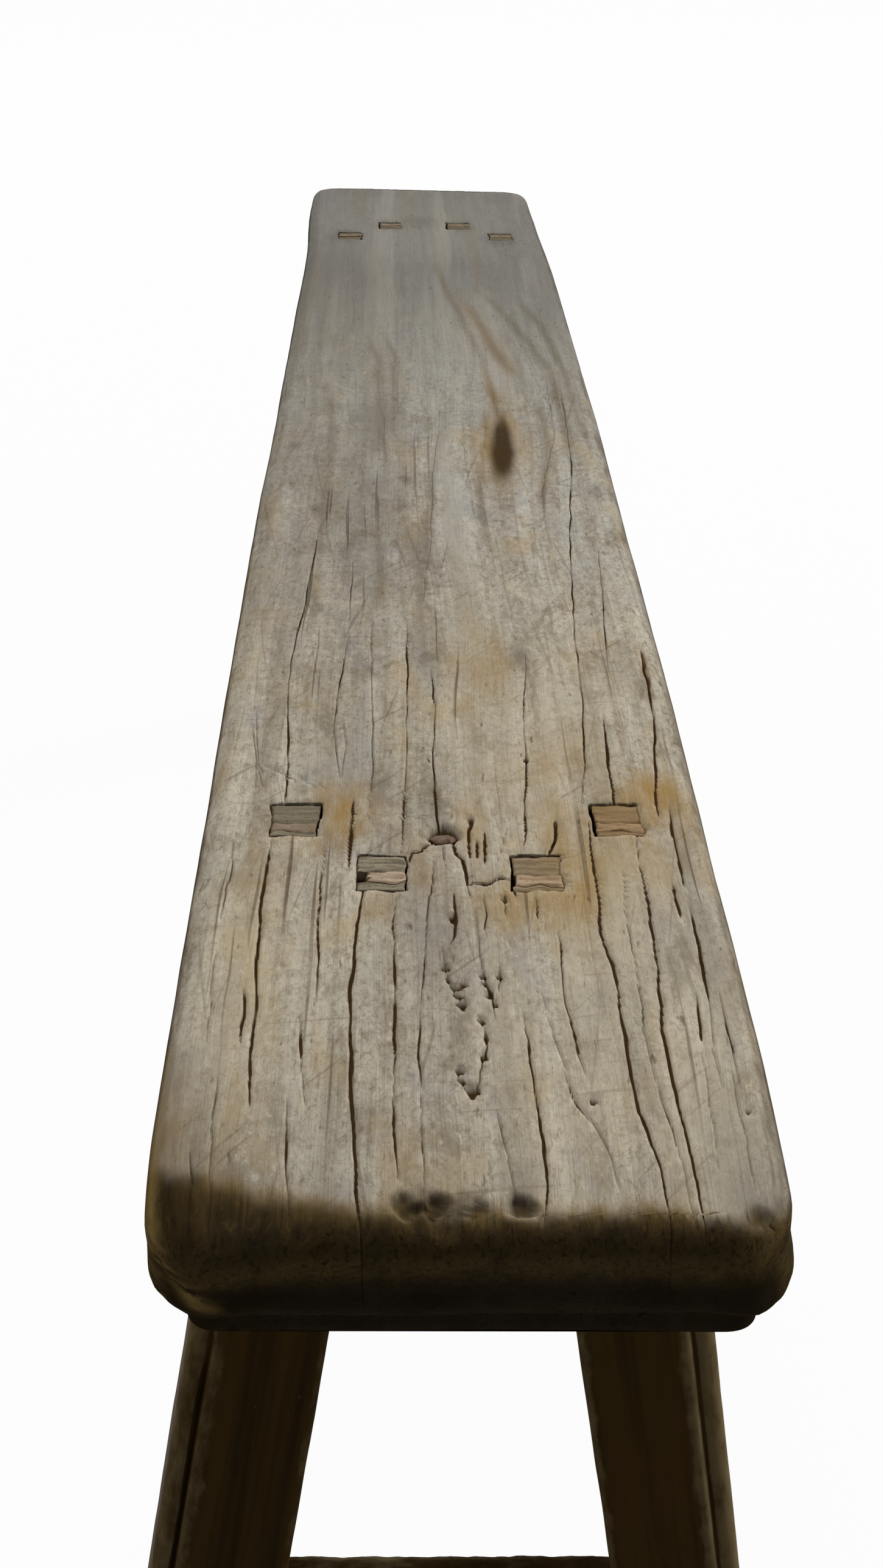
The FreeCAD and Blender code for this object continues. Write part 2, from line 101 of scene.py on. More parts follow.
# The photograph's camera, found from the tenons, the edges of the seat and the legs.
PHOTO_WIDTH = 1450
PHOTO_HEIGHT = 2576
FOCAL_PIXELS = 3022.4
CAMERA_PLACE = np.array([1102.3, -23.7, 875.7])
CAMERA_YAW = 0.0278
CAMERA_PITCH = 0.5188
CAMERA_ROLL = -0.0150


def camera_axes():
    """Right, down and forward directions of the camera."""
    yaw, pitch, roll = CAMERA_YAW, CAMERA_PITCH, CAMERA_ROLL
    level = math.cos(pitch)
    forward = np.array([-math.cos(yaw) * level, math.sin(yaw) * level, -math.sin(pitch)])
    right = np.array([math.sin(yaw), math.cos(yaw), 0.0])
    down = np.cross(forward, right)
    if down[2] > 0:
        down = -down
    turned_right = math.cos(roll) * right + math.sin(roll) * down
    turned_down = -math.sin(roll) * right + math.cos(roll) * down
    return turned_right, turned_down, forward


def on_seat(pixel):
    """Point of the seat's top that a pixel of the photograph shows."""
    right, down, forward = camera_axes()
    ray = forward * FOCAL_PIXELS
    ray = ray + right * (pixel[0] - PHOTO_WIDTH / 2) + down * (pixel[1] - PHOTO_HEIGHT / 2)
    reach = (SEAT_TOP - CAMERA_PLACE[2]) / ray[2]
    return (CAMERA_PLACE + ray * reach)[:2]


def srgb(red, green, blue):
    """Linear colour of an 8-bit screen colour."""
    parts = []
    for value in (red, green, blue):
        value = value / 255
        parts.append(value / 12.92 if value <= 0.04045 else ((value + 0.055) / 1.055) ** 2.4)
    return (*parts, 1.0)


def smooth(low, high, value):
    """Smooth step from 0 at low to 1 at high, either way round."""
    t = np.clip((value - low) / (high - low), 0, 1)
    return t * t * (3 - 2 * t)


# Odd numbers that mix the bits of a place and a seed, and the bits of one word.
MIX_X = 374761393
MIX_Y = 668265263
MIX_SEED = 982451653
MIX_AGAIN = 1274126177
WORD = 0xFFFFFFFF


def lattice(ix, iy, seed):
    """Repeatable random number between -1 and 1 for a whole-number place."""
    n = (ix * MIX_X + iy * MIX_Y + seed * MIX_SEED) & WORD
    n = ((n ^ (n >> 13)) * MIX_AGAIN) & WORD
    n = n ^ (n >> 16)
    return (n & 0xFFFFFF) / 0x7FFFFF - 1


def noise(x, y, seed):
    """Smooth noise between -1 and 1 over a plane."""
    x, y = np.broadcast_arrays(np.asarray(x, float), np.asarray(y, float))
    ix = np.floor(x).astype(np.int64)
    iy = np.floor(y).astype(np.int64)
    fx = smooth(0, 1, x - ix)
    fy = smooth(0, 1, y - iy)
    low = lattice(ix, iy, seed) * (1 - fx) + lattice(ix + 1, iy, seed) * fx
    high = lattice(ix, iy + 1, seed) * (1 - fx) + lattice(ix + 1, iy + 1, seed) * fx
    return low * (1 - fy) + high * fy


def rough(x, y, seed, octaves=4):
    """Several octaves of noise."""
    total = 0
    scale = 1.0
    for octave in range(octaves):
        total = total + noise(np.asarray(x) * scale, np.asarray(y) * scale, seed + octave) / scale
        scale *= 2
    return total / 1.7


def make_object(name, points, faces, materials, attributes=None, sharp_angle=None):
    """Mesh object on the bench's body, from points in millimetres."""
    mesh = bpy.data.meshes.new(name)
    mesh.from_pydata((np.asarray(points) * MM).tolist(), [], faces)
    mesh.polygons.foreach_set("use_smooth", [True] * len(mesh.polygons))
    for material in materials:
        mesh.materials.append(material)
    for label, values in (attributes or {}).items():
        values = np.asarray(values, float)
        kind = "FLOAT" if values.ndim == 1 else "FLOAT_VECTOR"
        layer = mesh.attributes.new(label, kind, "POINT")
        layer.data.foreach_set("value" if values.ndim == 1 else "vector", values.ravel())
    if sharp_angle:
        mesh.set_sharp_from_angle(angle=math.radians(sharp_angle))
    mesh.validate()
    piece = bpy.data.objects.new(name, mesh)
    bpy.context.scene.collection.objects.link(piece)
    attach(piece, "root")
    return piece


class Mesh:
    """Points, faces and attributes gathered from several closed forms."""

    def __init__(self):
        self.points = []
        self.faces = []
        self.grain = []
        self.wear = []
        self.tone = []
        self.slots = []

    def add(self, points, faces, grain, wear, slot=0, tone=0.0):
        """Add a closed form with its grain, wear, material slot and tone."""
        start = len(self.points)
        self.points.extend(np.asarray(points).tolist())
        self.faces.extend([[start + i for i in face] for face in faces])
        self.grain.extend((np.asarray(grain) * MM).tolist())
        self.wear.extend(np.broadcast_to(wear, len(points)).tolist())
        self.tone.extend([tone] * len(points))
        self.slots.extend([slot] * len(faces))

    def finish(self, name, materials, sharp_angle=None):
        attributes = {"grain": self.grain, "wear": self.wear, "tone": self.tone}
        piece = make_object(name, self.points, self.faces, materials, attributes, sharp_angle)
        piece.data.polygons.foreach_set("material_index", self.slots)
        return piece


def box_lattice(nx, ny, nz):
    """Surface of a box as a grid: places between -1 and 1, and quads facing outwards."""
    index = -np.ones((nx + 1, ny + 1, nz + 1), int)
    i, j, k = np.meshgrid(range(nx + 1), range(ny + 1), range(nz + 1), indexing="ij")
    skin = (i == 0) | (i == nx) | (j == 0) | (j == ny) | (k == 0) | (k == nz)
    index[skin] = np.arange(skin.sum())
    places = np.stack([i[skin] / nx, j[skin] / ny, k[skin] / nz], 1) * 2 - 1
    faces = []

    def side(grid, flip):
        a, b = grid[:-1, :-1].ravel(), grid[1:, :-1].ravel()
        c, d = grid[1:, 1:].ravel(), grid[:-1, 1:].ravel()
        quads = np.stack([a, b, c, d] if not flip else [a, d, c, b], 1)
        faces.extend(quads.tolist())
    side(index[:, :, nz], False)
    side(index[:, :, 0], True)
    side(index[nx, :, :], False)
    side(index[0, :, :], True)
    side(index[:, ny, :], True)
    side(index[:, 0, :], False)
    return places, faces


def eased(places, halves, radius):
    """Points of a box whose edges are rounded, from lattice places."""
    halves = np.asarray(halves, float)
    points = places * halves
    core = np.clip(points, radius - halves, halves - radius)
    out = points - core
    length = np.maximum(np.linalg.norm(out, axis=1, keepdims=True), 1e-9)
    return np.where(length > 1e-6, core + out / length * radius, points)


class Shader:
    """Builds a node material step by step."""

    def __init__(self, name):
        self.material = bpy.data.materials.new(name)
        self.material.use_nodes = True
        self.tree = self.material.node_tree
        self.surface = self.tree.nodes["Principled BSDF"]
        self.surface.inputs["Specular IOR Level"].default_value = 0.02

    def node(self, kind, **settings):
        made = self.tree.nodes.new(kind)
        for key, value in settings.items():
            setattr(made, key, value)
        return made

    def feed(self, socket, value):
        if isinstance(value, bpy.types.NodeSocket):
            self.tree.links.new(value, socket)
        else:
            socket.default_value = value

    def attribute(self, name, output="Fac"):
        return self.node("ShaderNodeAttribute", attribute_name=name).outputs[output]

    def math(self, operation, a, b=0.0):
        made = self.node("ShaderNodeMath", operation=operation)
        self.feed(made.inputs[0], a)
        self.feed(made.inputs[1], b)
        return made.outputs[0]

    def stretch(self, vector, scale):
        made = self.node("ShaderNodeVectorMath", operation="MULTIPLY")
        self.feed(made.inputs[0], vector)
        made.inputs[1].default_value = scale
        return made.outputs[0]

    def noise(self, vector, scale, detail=3.0, roughness=0.55, distortion=0.0):
        """Noise over the vector, with its own number of cells per metre along each axis."""
        made = self.node("ShaderNodeTexNoise")
        self.feed(made.inputs["Vector"], self.stretch(vector, scale))
        made.inputs["Scale"].default_value = 1.0
        made.inputs["Detail"].default_value = detail
        made.inputs["Roughness"].default_value = roughness
        made.inputs["Distortion"].default_value = distortion
        return made.outputs["Fac"]

    def turned(self, vector, angle):
        """The vector turned about Z."""
        made = self.node("ShaderNodeVectorRotate", rotation_type="Z_AXIS")
        self.feed(made.inputs["Vector"], vector)
        made.inputs["Angle"].default_value = angle
        return made.outputs[0]

    def step(self, value, low, high):
        """Smooth step from 0 at low to 1 at high, either way round."""
        made = self.node("ShaderNodeMapRange", interpolation_type="SMOOTHSTEP")
        self.feed(made.inputs["Value"], value)
        made.inputs["From Min"].default_value = low
        made.inputs["From Max"].default_value = high
        return made.outputs["Result"]

    def mix(self, amount, a, b, blend="MIX"):
        made = self.node("ShaderNodeMix", data_type="RGBA", blend_type=blend)
        self.feed(made.inputs["Factor"], amount)
        self.feed(made.inputs[6], a)
        self.feed(made.inputs[7], b)
        return made.outputs[2]

    def over(self, under, tint, amount, strength):
        """Lay a screen colour over another by an amount times a strength."""
        return self.mix(self.math("MULTIPLY", amount, strength), under, srgb(*tint))

    def layers(self, colour, rows):
        """Lay colours over one another, each where its value steps from low to high."""
        for value, low, high, strength, tint in rows:
            colour = self.over(colour, tint, self.step(value, low, high), strength)
        return colour

    def weighted(self, *parts):
        """Sum of values times their weights."""
        total = 0.0
        for value, weight in parts:
            total = self.math("ADD", total, self.math("MULTIPLY", value, weight))
        return total

    def finish(self, colour, roughness, height=None, strength=0.4, distance=0.0006):
        self.feed(self.surface.inputs["Base Color"], colour)
        self.feed(self.surface.inputs["Roughness"], roughness)
        if height is not None:
            bump = self.node("ShaderNodeBump")
            bump.inputs["Strength"].default_value = strength
            bump.inputs["Distance"].default_value = distance
            self.feed(bump.inputs["Height"], height)
            self.tree.links.new(bump.outputs["Normal"], self.surface.inputs["Normal"])
        return self.material


# Thin scratches across the grain: angle to it, cells per metre along them, and strength.
SCRATCHES = [(0.17, 9.0, 0.45), (-0.13, 8.0, 0.35), (0.7, 24.0, 0.4), (1.45, 20.0, 0.3)]


def seat_material():
    """Weathered elm: grey-beige with fine streaks, ochre stains, dirt and dark checks."""
    s = Shader("weathered_elm")
    grain = s.attribute("grain", "Vector")
    stain = s.attribute("stain")
    dirt_and_shade = s.attribute("dirt_and_shade")

    def field(along, across, *settings):
        return s.noise(grain, (along, across, across), *settings)

    band = field(2.4, 120, 5.0, 0.6)
    streak = field(7.0, 520, 3.0, 0.6)
    fibre = field(40, 1900, 2.0, 0.6)
    blotch = field(26, 72, 6.0, 0.62, 0.5)
    smear = field(70, 36, 1.5, 0.5, 0.8)
    cloud = field(4.5, 11, 4.0, 0.55)
    fleck = field(90, 360, 3.0, 0.55)
    speck = field(190, 340, 5.0, 0.7, 0.5)
    tint = field(13, 34, 4.0, 0.6, 0.6)
    flow = field(1.6, 42, 2.0, 0.5)
    scuff = s.math("ABSOLUTE", s.math("SUBTRACT", field(130, 200, 2.0, 0.6, 1.2), 0.5))

    # The wood is rougher and warmer at the near end than further along.
    far = s.step(s.attribute("along"), 0.2, -0.45)
    cool = s.step(s.attribute("along"), 0.36, 0.12)

    def fading(amount):
        return s.math("SUBTRACT", 1.0, s.math("MULTIPLY", far, amount))

    close = fading(0.85)

    def near(strength):
        return s.math("MULTIPLY", close, strength)

    # Hair-thin splits, in patches and away from the knot.
    hair = s.math("MULTIPLY", s.step(field(5.0, 300, 1.0, 0.5), 0.64, 0.71),
                  s.step(field(5.0, 24, 2.0, 0.5), 0.44, 0.6))
    calm = s.math("SUBTRACT", 1.0, s.attribute("swirl"))
    hair = s.math("MULTIPLY", hair, s.math("MULTIPLY", close, calm))

    light = s.mix(cool, srgb(191, 183, 166), srgb(186, 182, 171))
    dark = s.mix(cool, srgb(171, 161, 143), srgb(165, 158, 146))
    colour = s.mix(s.step(band, 0.36, 0.66), light, dark)
    colour = s.layers(colour, (
        (streak, 0.48, 0.76, 0.42, (124, 110, 87)),
        (cloud, 0.46, 0.7, 0.4, (158, 153, 143)),
        (blotch, 0.5, 0.68, near(0.6), (120, 107, 86)),
        (smear, 0.52, 0.72, near(0.26), (124, 112, 93)),
        (blotch, 0.46, 0.3, 0.5, (204, 194, 172)),
        (speck, 0.5, 0.7, near(0.62), (114, 101, 80)),
        (speck, 0.48, 0.3, 0.55, (214, 205, 184)),
        (scuff, 0.035, 0.0, near(0.4), (112, 98, 76)),
        (tint, 0.52, 0.68, near(0.4), (174, 150, 108)),
        (tint, 0.47, 0.32, near(0.4), (150, 148, 145)),
    ))
    for angle, cells, strength in SCRATCHES:
        scratch = s.noise(s.turned(grain, angle), (cells, 430, 430), 0.0, 0.5)
        colour = s.over(colour, (106, 88, 68), s.step(scratch, 0.75, 0.82), near(strength))
    # Painted shade: the far half is laid over with dull grey, partly the wood's own grey and partly the
    # light falling off towards the far end.
    colour = s.over(colour, (104, 103, 99), far, 0.82)
    colour = s.layers(colour, (
        (flow, 0.52, 0.64, 0.3, (122, 110, 92)),
        (flow, 0.46, 0.36, 0.16, (188, 178, 160)),
    ))
    colour = s.over(colour, (98, 83, 62), s.attribute("flow"), 0.44)
    ochre = s.math("MULTIPLY", stain, s.step(blotch, 0.2, 0.6))
    colour = s.over(colour, (158, 127, 73), ochre, 0.92)
    paler = s.mix(cool, srgb(198, 184, 156), srgb(186, 182, 172))
    colour = s.mix(s.math("MULTIPLY", s.attribute("pale"), 0.5), colour, paler)
    grey = s.math("MULTIPLY", s.attribute("grey"), s.step(cloud, 0.25, 0.6))
    colour = s.over(colour, (113, 105, 95), grey, 0.55)
    colour = s.layers(colour, (
        (fibre, 0.5, 0.78, 0.28, (96, 82, 60)),
        (fleck, 0.64, 0.75, 0.6, (74, 60, 42)),
    ))
    colour = s.over(colour, (70, 54, 36), hair, 0.65)
    colour = s.over(colour, (50, 33, 15), s.attribute("knot"), 0.9)

    # Old dark wood under the dirt and painted shade of the edges and the ends.
    soiled = s.math("ADD", dirt_and_shade, s.math("MULTIPLY", s.math("SUBTRACT", blotch, 0.5), 0.55))
    soiled = s.math("MULTIPLY", s.step(soiled, 0.12, 0.85), s.step(dirt_and_shade, 0.02, 0.15))
    old = s.mix(s.step(band, 0.35, 0.7), srgb(60, 46, 22), srgb(39, 29, 13))
    old = s.layers(old, ((blotch, 0.56, 0.7, 0.4, (98, 80, 48)),))
    ochre = s.math("MULTIPLY", stain, s.step(blotch, 0.4, 0.62))
    old = s.over(old, (130, 108, 66), ochre, 0.62)
    old = s.over(old, (96, 78, 46), s.attribute("pale"), 0.5)
    old = s.layers(old, (
        (speck, 0.52, 0.68, 0.22, (112, 92, 56)),
        (streak, 0.5, 0.66, 0.6, (30, 22, 11)),
        (blotch, 0.46, 0.32, 0.5, (32, 24, 12)),
    ))
    old = s.mix(s.step(dirt_and_shade, 1.05, 1.5), old, srgb(30, 23, 12))
    old = s.over(old, (132, 110, 66), s.attribute("corner"), s.step(blotch, 0.34, 0.54))
    colour = s.mix(s.math("MULTIPLY", soiled, 0.97), colour, old)
    check = s.step(s.attribute("crack"), 0.15, 0.8)
    colour = s.over(colour, (78, 58, 36), check, fading(0.6))
    height = s.weighted((streak, 0.6), (fibre, -0.35), (fleck, -0.25), (hair, -0.8))
    s.surface.inputs["Specular IOR Level"].default_value = 0.0
    return s.finish(colour, 0.8, height, 0.55, 0.0008)


def patina_material(name, light, dark, red, worn):
    """Dark handled wood: long soft streaks, reddish patches and paler worn edges."""
    s = Shader(name)
    grain = s.attribute("grain", "Vector")
    wear = s.attribute("wear")
    band = s.noise(grain, (3.0, 90, 90), 4.0, 0.6)
    streak = s.noise(grain, (9.0, 520, 520), 3.0, 0.6)
    patch = s.noise(grain, (9, 16, 16), 4.0, 0.6)
    scuff = s.noise(grain, (60, 130, 130), 4.0, 0.6)
    colour = s.mix(s.step(band, 0.35, 0.68), srgb(*light), srgb(*dark))
    colour = s.layers(colour, (
        (patch, 0.5, 0.7, 0.6, red),
        (streak, 0.55, 0.8, 0.5, dark),
    ))
    edge = s.math("ADD", wear, s.math("MULTIPLY", s.math("SUBTRACT", scuff, 0.5), 1.2))
    edge = s.math("MULTIPLY", s.step(edge, 0.35, 0.9), s.step(wear, 0.02, 0.3))
    colour = s.over(colour, worn, edge, 0.7)
    colour = s.layers(colour, ((scuff, 0.66, 0.76, 0.35, worn),))
    gloss = s.math("ADD", 0.48, s.math("MULTIPLY", scuff, 0.28))
    return s.finish(colour, gloss, s.weighted((streak, 0.6), (scuff, 0.4)), 0.35, 0.0006)


def end_grain_material(name, light, dark, crack):
    """Sawn-off end of a weathered tenon or wedge: thin dark growth lines across it."""
    s = Shader(name)
    grain = s.attribute("grain", "Vector")
    tone = s.attribute("tone")
    rings = s.noise(grain, (420, 45, 60), 3.0, 0.6, 0.4)
    pores = s.noise(grain, (900, 700, 700), 2.0, 0.6)
    patch = s.noise(grain, (60, 60, 60), 4.0, 0.6)
    colour = s.mix(s.step(rings, 0.4, 0.62), srgb(*light), srgb(*dark))
    colour = s.over(colour, dark, s.math("MINIMUM", tone, 1.0), 0.6)
    colour = s.layers(colour, (
        (tone, 1.0, 2.0, 0.42, crack),
        (patch, 0.5, 0.7, 0.5, dark),
        (pores, 0.58, 0.72, 0.6, crack),
    ))
    # The ochre stain at the right of the near end colours the tenons there.
    place = s.node("ShaderNodeSeparateXYZ")
    s.feed(place.inputs[0], s.node("ShaderNodeNewGeometry").outputs["Position"])
    stained = s.math("MULTIPLY", s.step(place.outputs["X"], 0.3, 0.4),
                     s.step(place.outputs["Y"], -0.01, 0.06))
    colour = s.over(colour, (148, 112, 62), stained, 0.5)
    colour = s.mix(s.step(s.attribute("wear"), 0.2, 0.9), colour, srgb(*crack))
    return s.finish(colour, 0.8, s.weighted((rings, 1.0), (pores, -0.5)), 0.5, 0.0005)


def plain_wedge_material():
    """The same split wood for the small wedges that are kept as they were drawn."""
    s = Shader("small_wedge_wood")
    place = s.node("ShaderNodeTexCoord").outputs["Object"]
    rings = s.noise(place, (320, 320, 60), 3.0, 0.6, 0.4)
    patch = s.noise(place, (90, 90, 90), 4.0, 0.6)
    colour = s.mix(s.step(rings, 0.4, 0.62), srgb(120, 102, 76), srgb(88, 72, 48))
    colour = s.layers(colour, ((patch, 0.5, 0.7, 0.6, (62, 48, 28)),))
    return s.finish(colour, 0.8, rings, 0.4, 0.0005)


def iron_material():
    """Hammered iron, dull grey on its high spots and rusty elsewhere."""
    s = Shader("rusted_iron")
    place = s.node("ShaderNodeNewGeometry").outputs["Position"]
    patch = s.noise(place, (520, 520, 520), 4.0, 0.6)
    grit = s.noise(place, (2600, 2600, 2600), 2.0, 0.6)
    colour = s.mix(s.step(patch, 0.4, 0.62), srgb(106, 84, 68), srgb(72, 54, 43))
    colour = s.over(colour, (108, 97, 88), s.attribute("facet"), s.step(grit, 0.3, 0.55))
    colour = s.layers(colour, ((grit, 0.55, 0.7, 0.6, (40, 27, 19)),))
    s.surface.inputs["Metallic"].default_value = 0.3
    gloss = s.math("ADD", 0.4, s.math("MULTIPLY", grit, 0.3))
    return s.finish(colour, gloss, s.weighted((patch, 1.0), (grit, 0.5)), 0.5, 0.0006)


SEAT_WOOD = seat_material()
LEG_WOOD = patina_material("leg_patina", (68, 50, 22), (43, 31, 12), (70, 45, 20), (118, 103, 72))
RAIL_WOOD = patina_material("rail_patina", (90, 72, 43), (62, 48, 24), (84, 60, 32), (142, 126, 94))
APRON_WOOD = patina_material("apron_patina", (76, 58, 29), (49, 36, 15), (74, 49, 23), (118, 103, 72))
TENON_WOOD = end_grain_material("tenon_end_grain", (151, 141, 120), (113, 103, 85), (58, 46, 30))
WEDGE_WOOD = end_grain_material("wedge_end_grain", (186, 166, 143), (150, 131, 109), (58, 44, 30))
SMALL_WEDGE_WOOD = plain_wedge_material()
IRON = iron_material()


# Checks of the seat's top, traced as pixels of the photograph, with their greatest width in
# millimetres. Each runs from its far end to its near end.
CHECKS = [
    (1.3, [(475, 1130), (472, 1180), (473, 1248), (469, 1330)]),
    (1.5, [(445, 1368), (440, 1405), (433, 1453), (427, 1508), (425, 1562), (424, 1630), (419, 1699),
           (414, 1760), (411, 1828)]),
    (1.1, [(538, 1381), (529, 1439), (524, 1501), (525, 1562), (521, 1651)]),
    (1.9, [(580, 1313), (578, 1371), (574, 1426)]),
    (1.7, [(602, 1420), (595, 1475), (590, 1514), (583, 1562), (578, 1624), (577, 1699), (578, 1794),
           (581, 1897), (589, 1985), (595, 2040)]),
    (1.2, [(651, 1470), (647, 1521), (648, 1576), (651, 1644), (649, 1712), (646, 1781), (650, 1860),
           (654, 1940)]),
    (1.2, [(669, 1180), (668, 1255), (664, 1330), (660, 1402)]),
    (0.9, [(711, 1405), (709, 1453), (704, 1487), (699, 1535), (696, 1589), (690, 1651)]),
    (1.3, [(715, 1153), (711, 1235), (716, 1310), (720, 1361)]),
    (2.0, [(714, 1290), (717, 1325), (720, 1372)]),
    (2.2, [(746, 1383), (752, 1402), (762, 1412), (767, 1432), (768, 1456)]),
    (0.8, [(768, 1456), (774, 1473)]),
    (1.7, [(748, 1465), (750, 1501), (748, 1535), (740, 1554)]),
    (0.8, [(727, 1554), (730, 1583), (735, 1603), (742, 1624), (752, 1637), (763, 1656)]),
    (0.9, [(786, 1533), (787, 1569), (794, 1603), (801, 1627), (808, 1644), (812, 1673)]),
    (0.8, [(823, 1581), (820, 1610), (813, 1644)]),
    (0.9, [(794, 1465), (800, 1501), (794, 1531)]),
    (1.3, [(785, 1667), (796, 1685), (798, 1712), (791, 1746), (787, 1781), (779, 1794)]),
    (0.7, [(750, 1757), (759, 1781), (778, 1792)]),
    (1.0, [(726, 1390), (729, 1413)]),
    (1.7, [(712, 1380), (697, 1385), (687, 1395), (677, 1398), (673, 1417)]),
    (1.7, [(777, 1344), (769, 1361), (771, 1385), (774, 1410)]),
    (1.7, [(795, 1366), (798, 1418)]),
    (1.6, [(783, 1378), (785, 1408)]),
    (2.2, [(770, 1454), (800, 1450), (827, 1443), (844, 1439)]),
    (1.6, [(845, 1412), (843, 1439), (845, 1473)]),
    (2.0, [(912, 1346), (911, 1378), (900, 1402)]),
    (1.4, [(862, 1214), (864, 1248), (863, 1316), (862, 1393)]),
    (0.9, [(953, 1100), (957, 1160), (961, 1248), (957, 1320)]),
    (1.8, [(991, 1173), (994, 1207), (1001, 1262), (1012, 1345)]),
    (1.5, [(1075, 1166), (1074, 1221), (1077, 1276), (1079, 1345)]),
    (1.6, [(966, 1345), (970, 1378), (976, 1419), (982, 1473), (989, 1535), (1004, 1583), (1016, 1630),
           (1025, 1699), (1035, 1767), (1059, 1842), (1086, 1917), (1103, 1992), (1107, 2040)]),
    (1.5, [(1040, 1345), (1046, 1378), (1052, 1426), (1067, 1487), (1076, 1549), (1083, 1603), (1088, 1685),
           (1101, 1753), (1113, 1801), (1127, 1862), (1148, 1944), (1161, 2013)]),
    (0.9, [(1021, 1422), (1028, 1487), (1038, 1555), (1052, 1630), (1059, 1692), (1073, 1760),
           (1107, 1862), (1127, 1931), (1144, 2006)]),
    (1.4, [(1098, 1325), (1107, 1371), (1118, 1420), (1126, 1459)]),
    (1.3, [(1107, 1452), (1112, 1480), (1120, 1506)]),
    (1.5, [(1134, 1495), (1148, 1555), (1158, 1603), (1165, 1640)]),
    (1.4, [(884, 1466), (882, 1506)]),
    (1.2, [(827, 1465), (829, 1500)]),
    (0.6, [(359, 1560), (350, 1620), (346, 1680), (343, 1730)]),
    (0.9, [(1180, 1620), (1188, 1660), (1206, 1725), (1214, 1790)]),
    (1.6, [(1146, 1634), (1152, 1709)]),
    (1.1, [(916, 1525), (924, 1589), (929, 1651), (950, 1726), (965, 1770)]),
    (1.5, [(858, 1654), (869, 1705), (871, 1746), (881, 1808), (892, 1876), (899, 1937), (895, 1992)]),
    (0.9, [(892, 1630), (905, 1682), (929, 1753), (943, 1808), (977, 1849), (1004, 1897), (1018, 1951)]),
    (0.8, [(820, 1832), (834, 1890), (844, 1948)]),
    (1.0, [(690, 1651), (687, 1726), (694, 1828), (694, 1903), (696, 1965)]),
    (1.1, [(471, 1804), (472, 1862), (473, 1931), (475, 1992)]),
    (1.2, [(497, 1647), (494, 1712), (496, 1760), (503, 1818)]),
    (1.0, [(363, 1770), (353, 1835), (346, 1937)]),
    (1.6, [(404, 1627), (402, 1671), (399, 1716)]),
    (0.9, [(387, 1368), (380, 1432), (370, 1473), (364, 1509)]),
    (0.7, [(349, 1383), (342, 1456)]),
    (0.8, [(414, 1183), (423, 1255), (419, 1293)]),
    (1.1, [(613, 1150), (611, 1262), (605, 1350)]),
    (0.6, [(1151, 1715), (1165, 1800), (1174, 1860), (1184, 1935)]),
    (0.65, [(1163, 1600), (1166, 1640), (1172, 1715), (1188, 1800)]),
    (1.5, [(1256, 1930), (1264, 1950), (1271, 1972), (1277, 1990)]),
    (1.2, [(314, 1886), (318, 1927)]),
    (0.7, [(561, 1173), (568, 1221), (561, 1286)]),
    (0.7, [(1201, 1760), (1223, 1862), (1243, 1951)]),
    (0.9, [(342, 1344), (376, 1342), (412, 1338)]),
    (0.8, [(282, 1688), (301, 1680), (323, 1675)]),
    (0.6, [(838, 1342), (827, 1385), (812, 1434)]),
    (0.6, [(416, 1254), (472, 1274), (535, 1294)]),
    (1.1, [(523, 877), (500, 990), (477, 1090), (473, 1157), (471, 1190)]),
    (1.2, [(667, 1023), (670, 1090), (668, 1190)]),
    (0.9, [(573, 1043), (557, 1123), (547, 1197), (559, 1277)]),
    (1.0, [(707, 1100), (715, 1160)]),
    (0.5, [(720, 663), (710, 770), (707, 890), (693, 990)]),
    (1.1, [(917, 643), (937, 757), (937, 890), (943, 1023), (953, 1123), (960, 1180)]),
    (0.9, [(983, 903), (993, 1023), (1000, 1110)]),
    (1.6, [(1047, 1037), (1063, 1123), (1073, 1175)]),
    (0.8, [(863, 1070), (859, 1177), (862, 1220)]),
    (0.9, [(580, 923), (573, 1023)]),
    (0.8, [(420, 1163), (423, 1223), (430, 1290)]),
    (0.8, [(612, 1010), (610, 1100), (613, 1180)]),
    (0.5, [(893, 620), (907, 710), (887, 820)]),
]

# Small holes left by insects: pixel of the photograph and radius in millimetres.
HOLES = [
    ((731, 1589), 1.7), ((737, 1613), 1.5), ((748, 1624), 1.7), ((759, 1617), 1.3), ((752, 1636), 1.5),
    ((759, 1651), 2.0), ((791, 1603), 1.6), ((794, 1617), 1.3), ((803, 1634), 1.8), ((820, 1603), 1.5),
    ((812, 1651), 1.2), ((789, 1671), 1.3), ((798, 1699), 1.3), ((794, 1733), 1.5), ((731, 1757), 1.2),
    ((755, 1760), 1.6), ((759, 1777), 1.3), ((779, 1791), 2.5), ((746, 1508), 1.7), ((828, 1480), 1.4),
    ((840, 1549), 1.2), ((974, 1651), 0.9), ((977, 1808), 1.4), ((383, 1760), 1.1), ((419, 1383), 1.4),
    ((1243, 1825), 1.2), ((830, 1211), 1.4), ((864, 1248), 1.2), ((772, 1347), 1.4), ((705, 1250), 1.3),
    ((742, 1247), 1.1), ((349, 1346), 1.6),
]

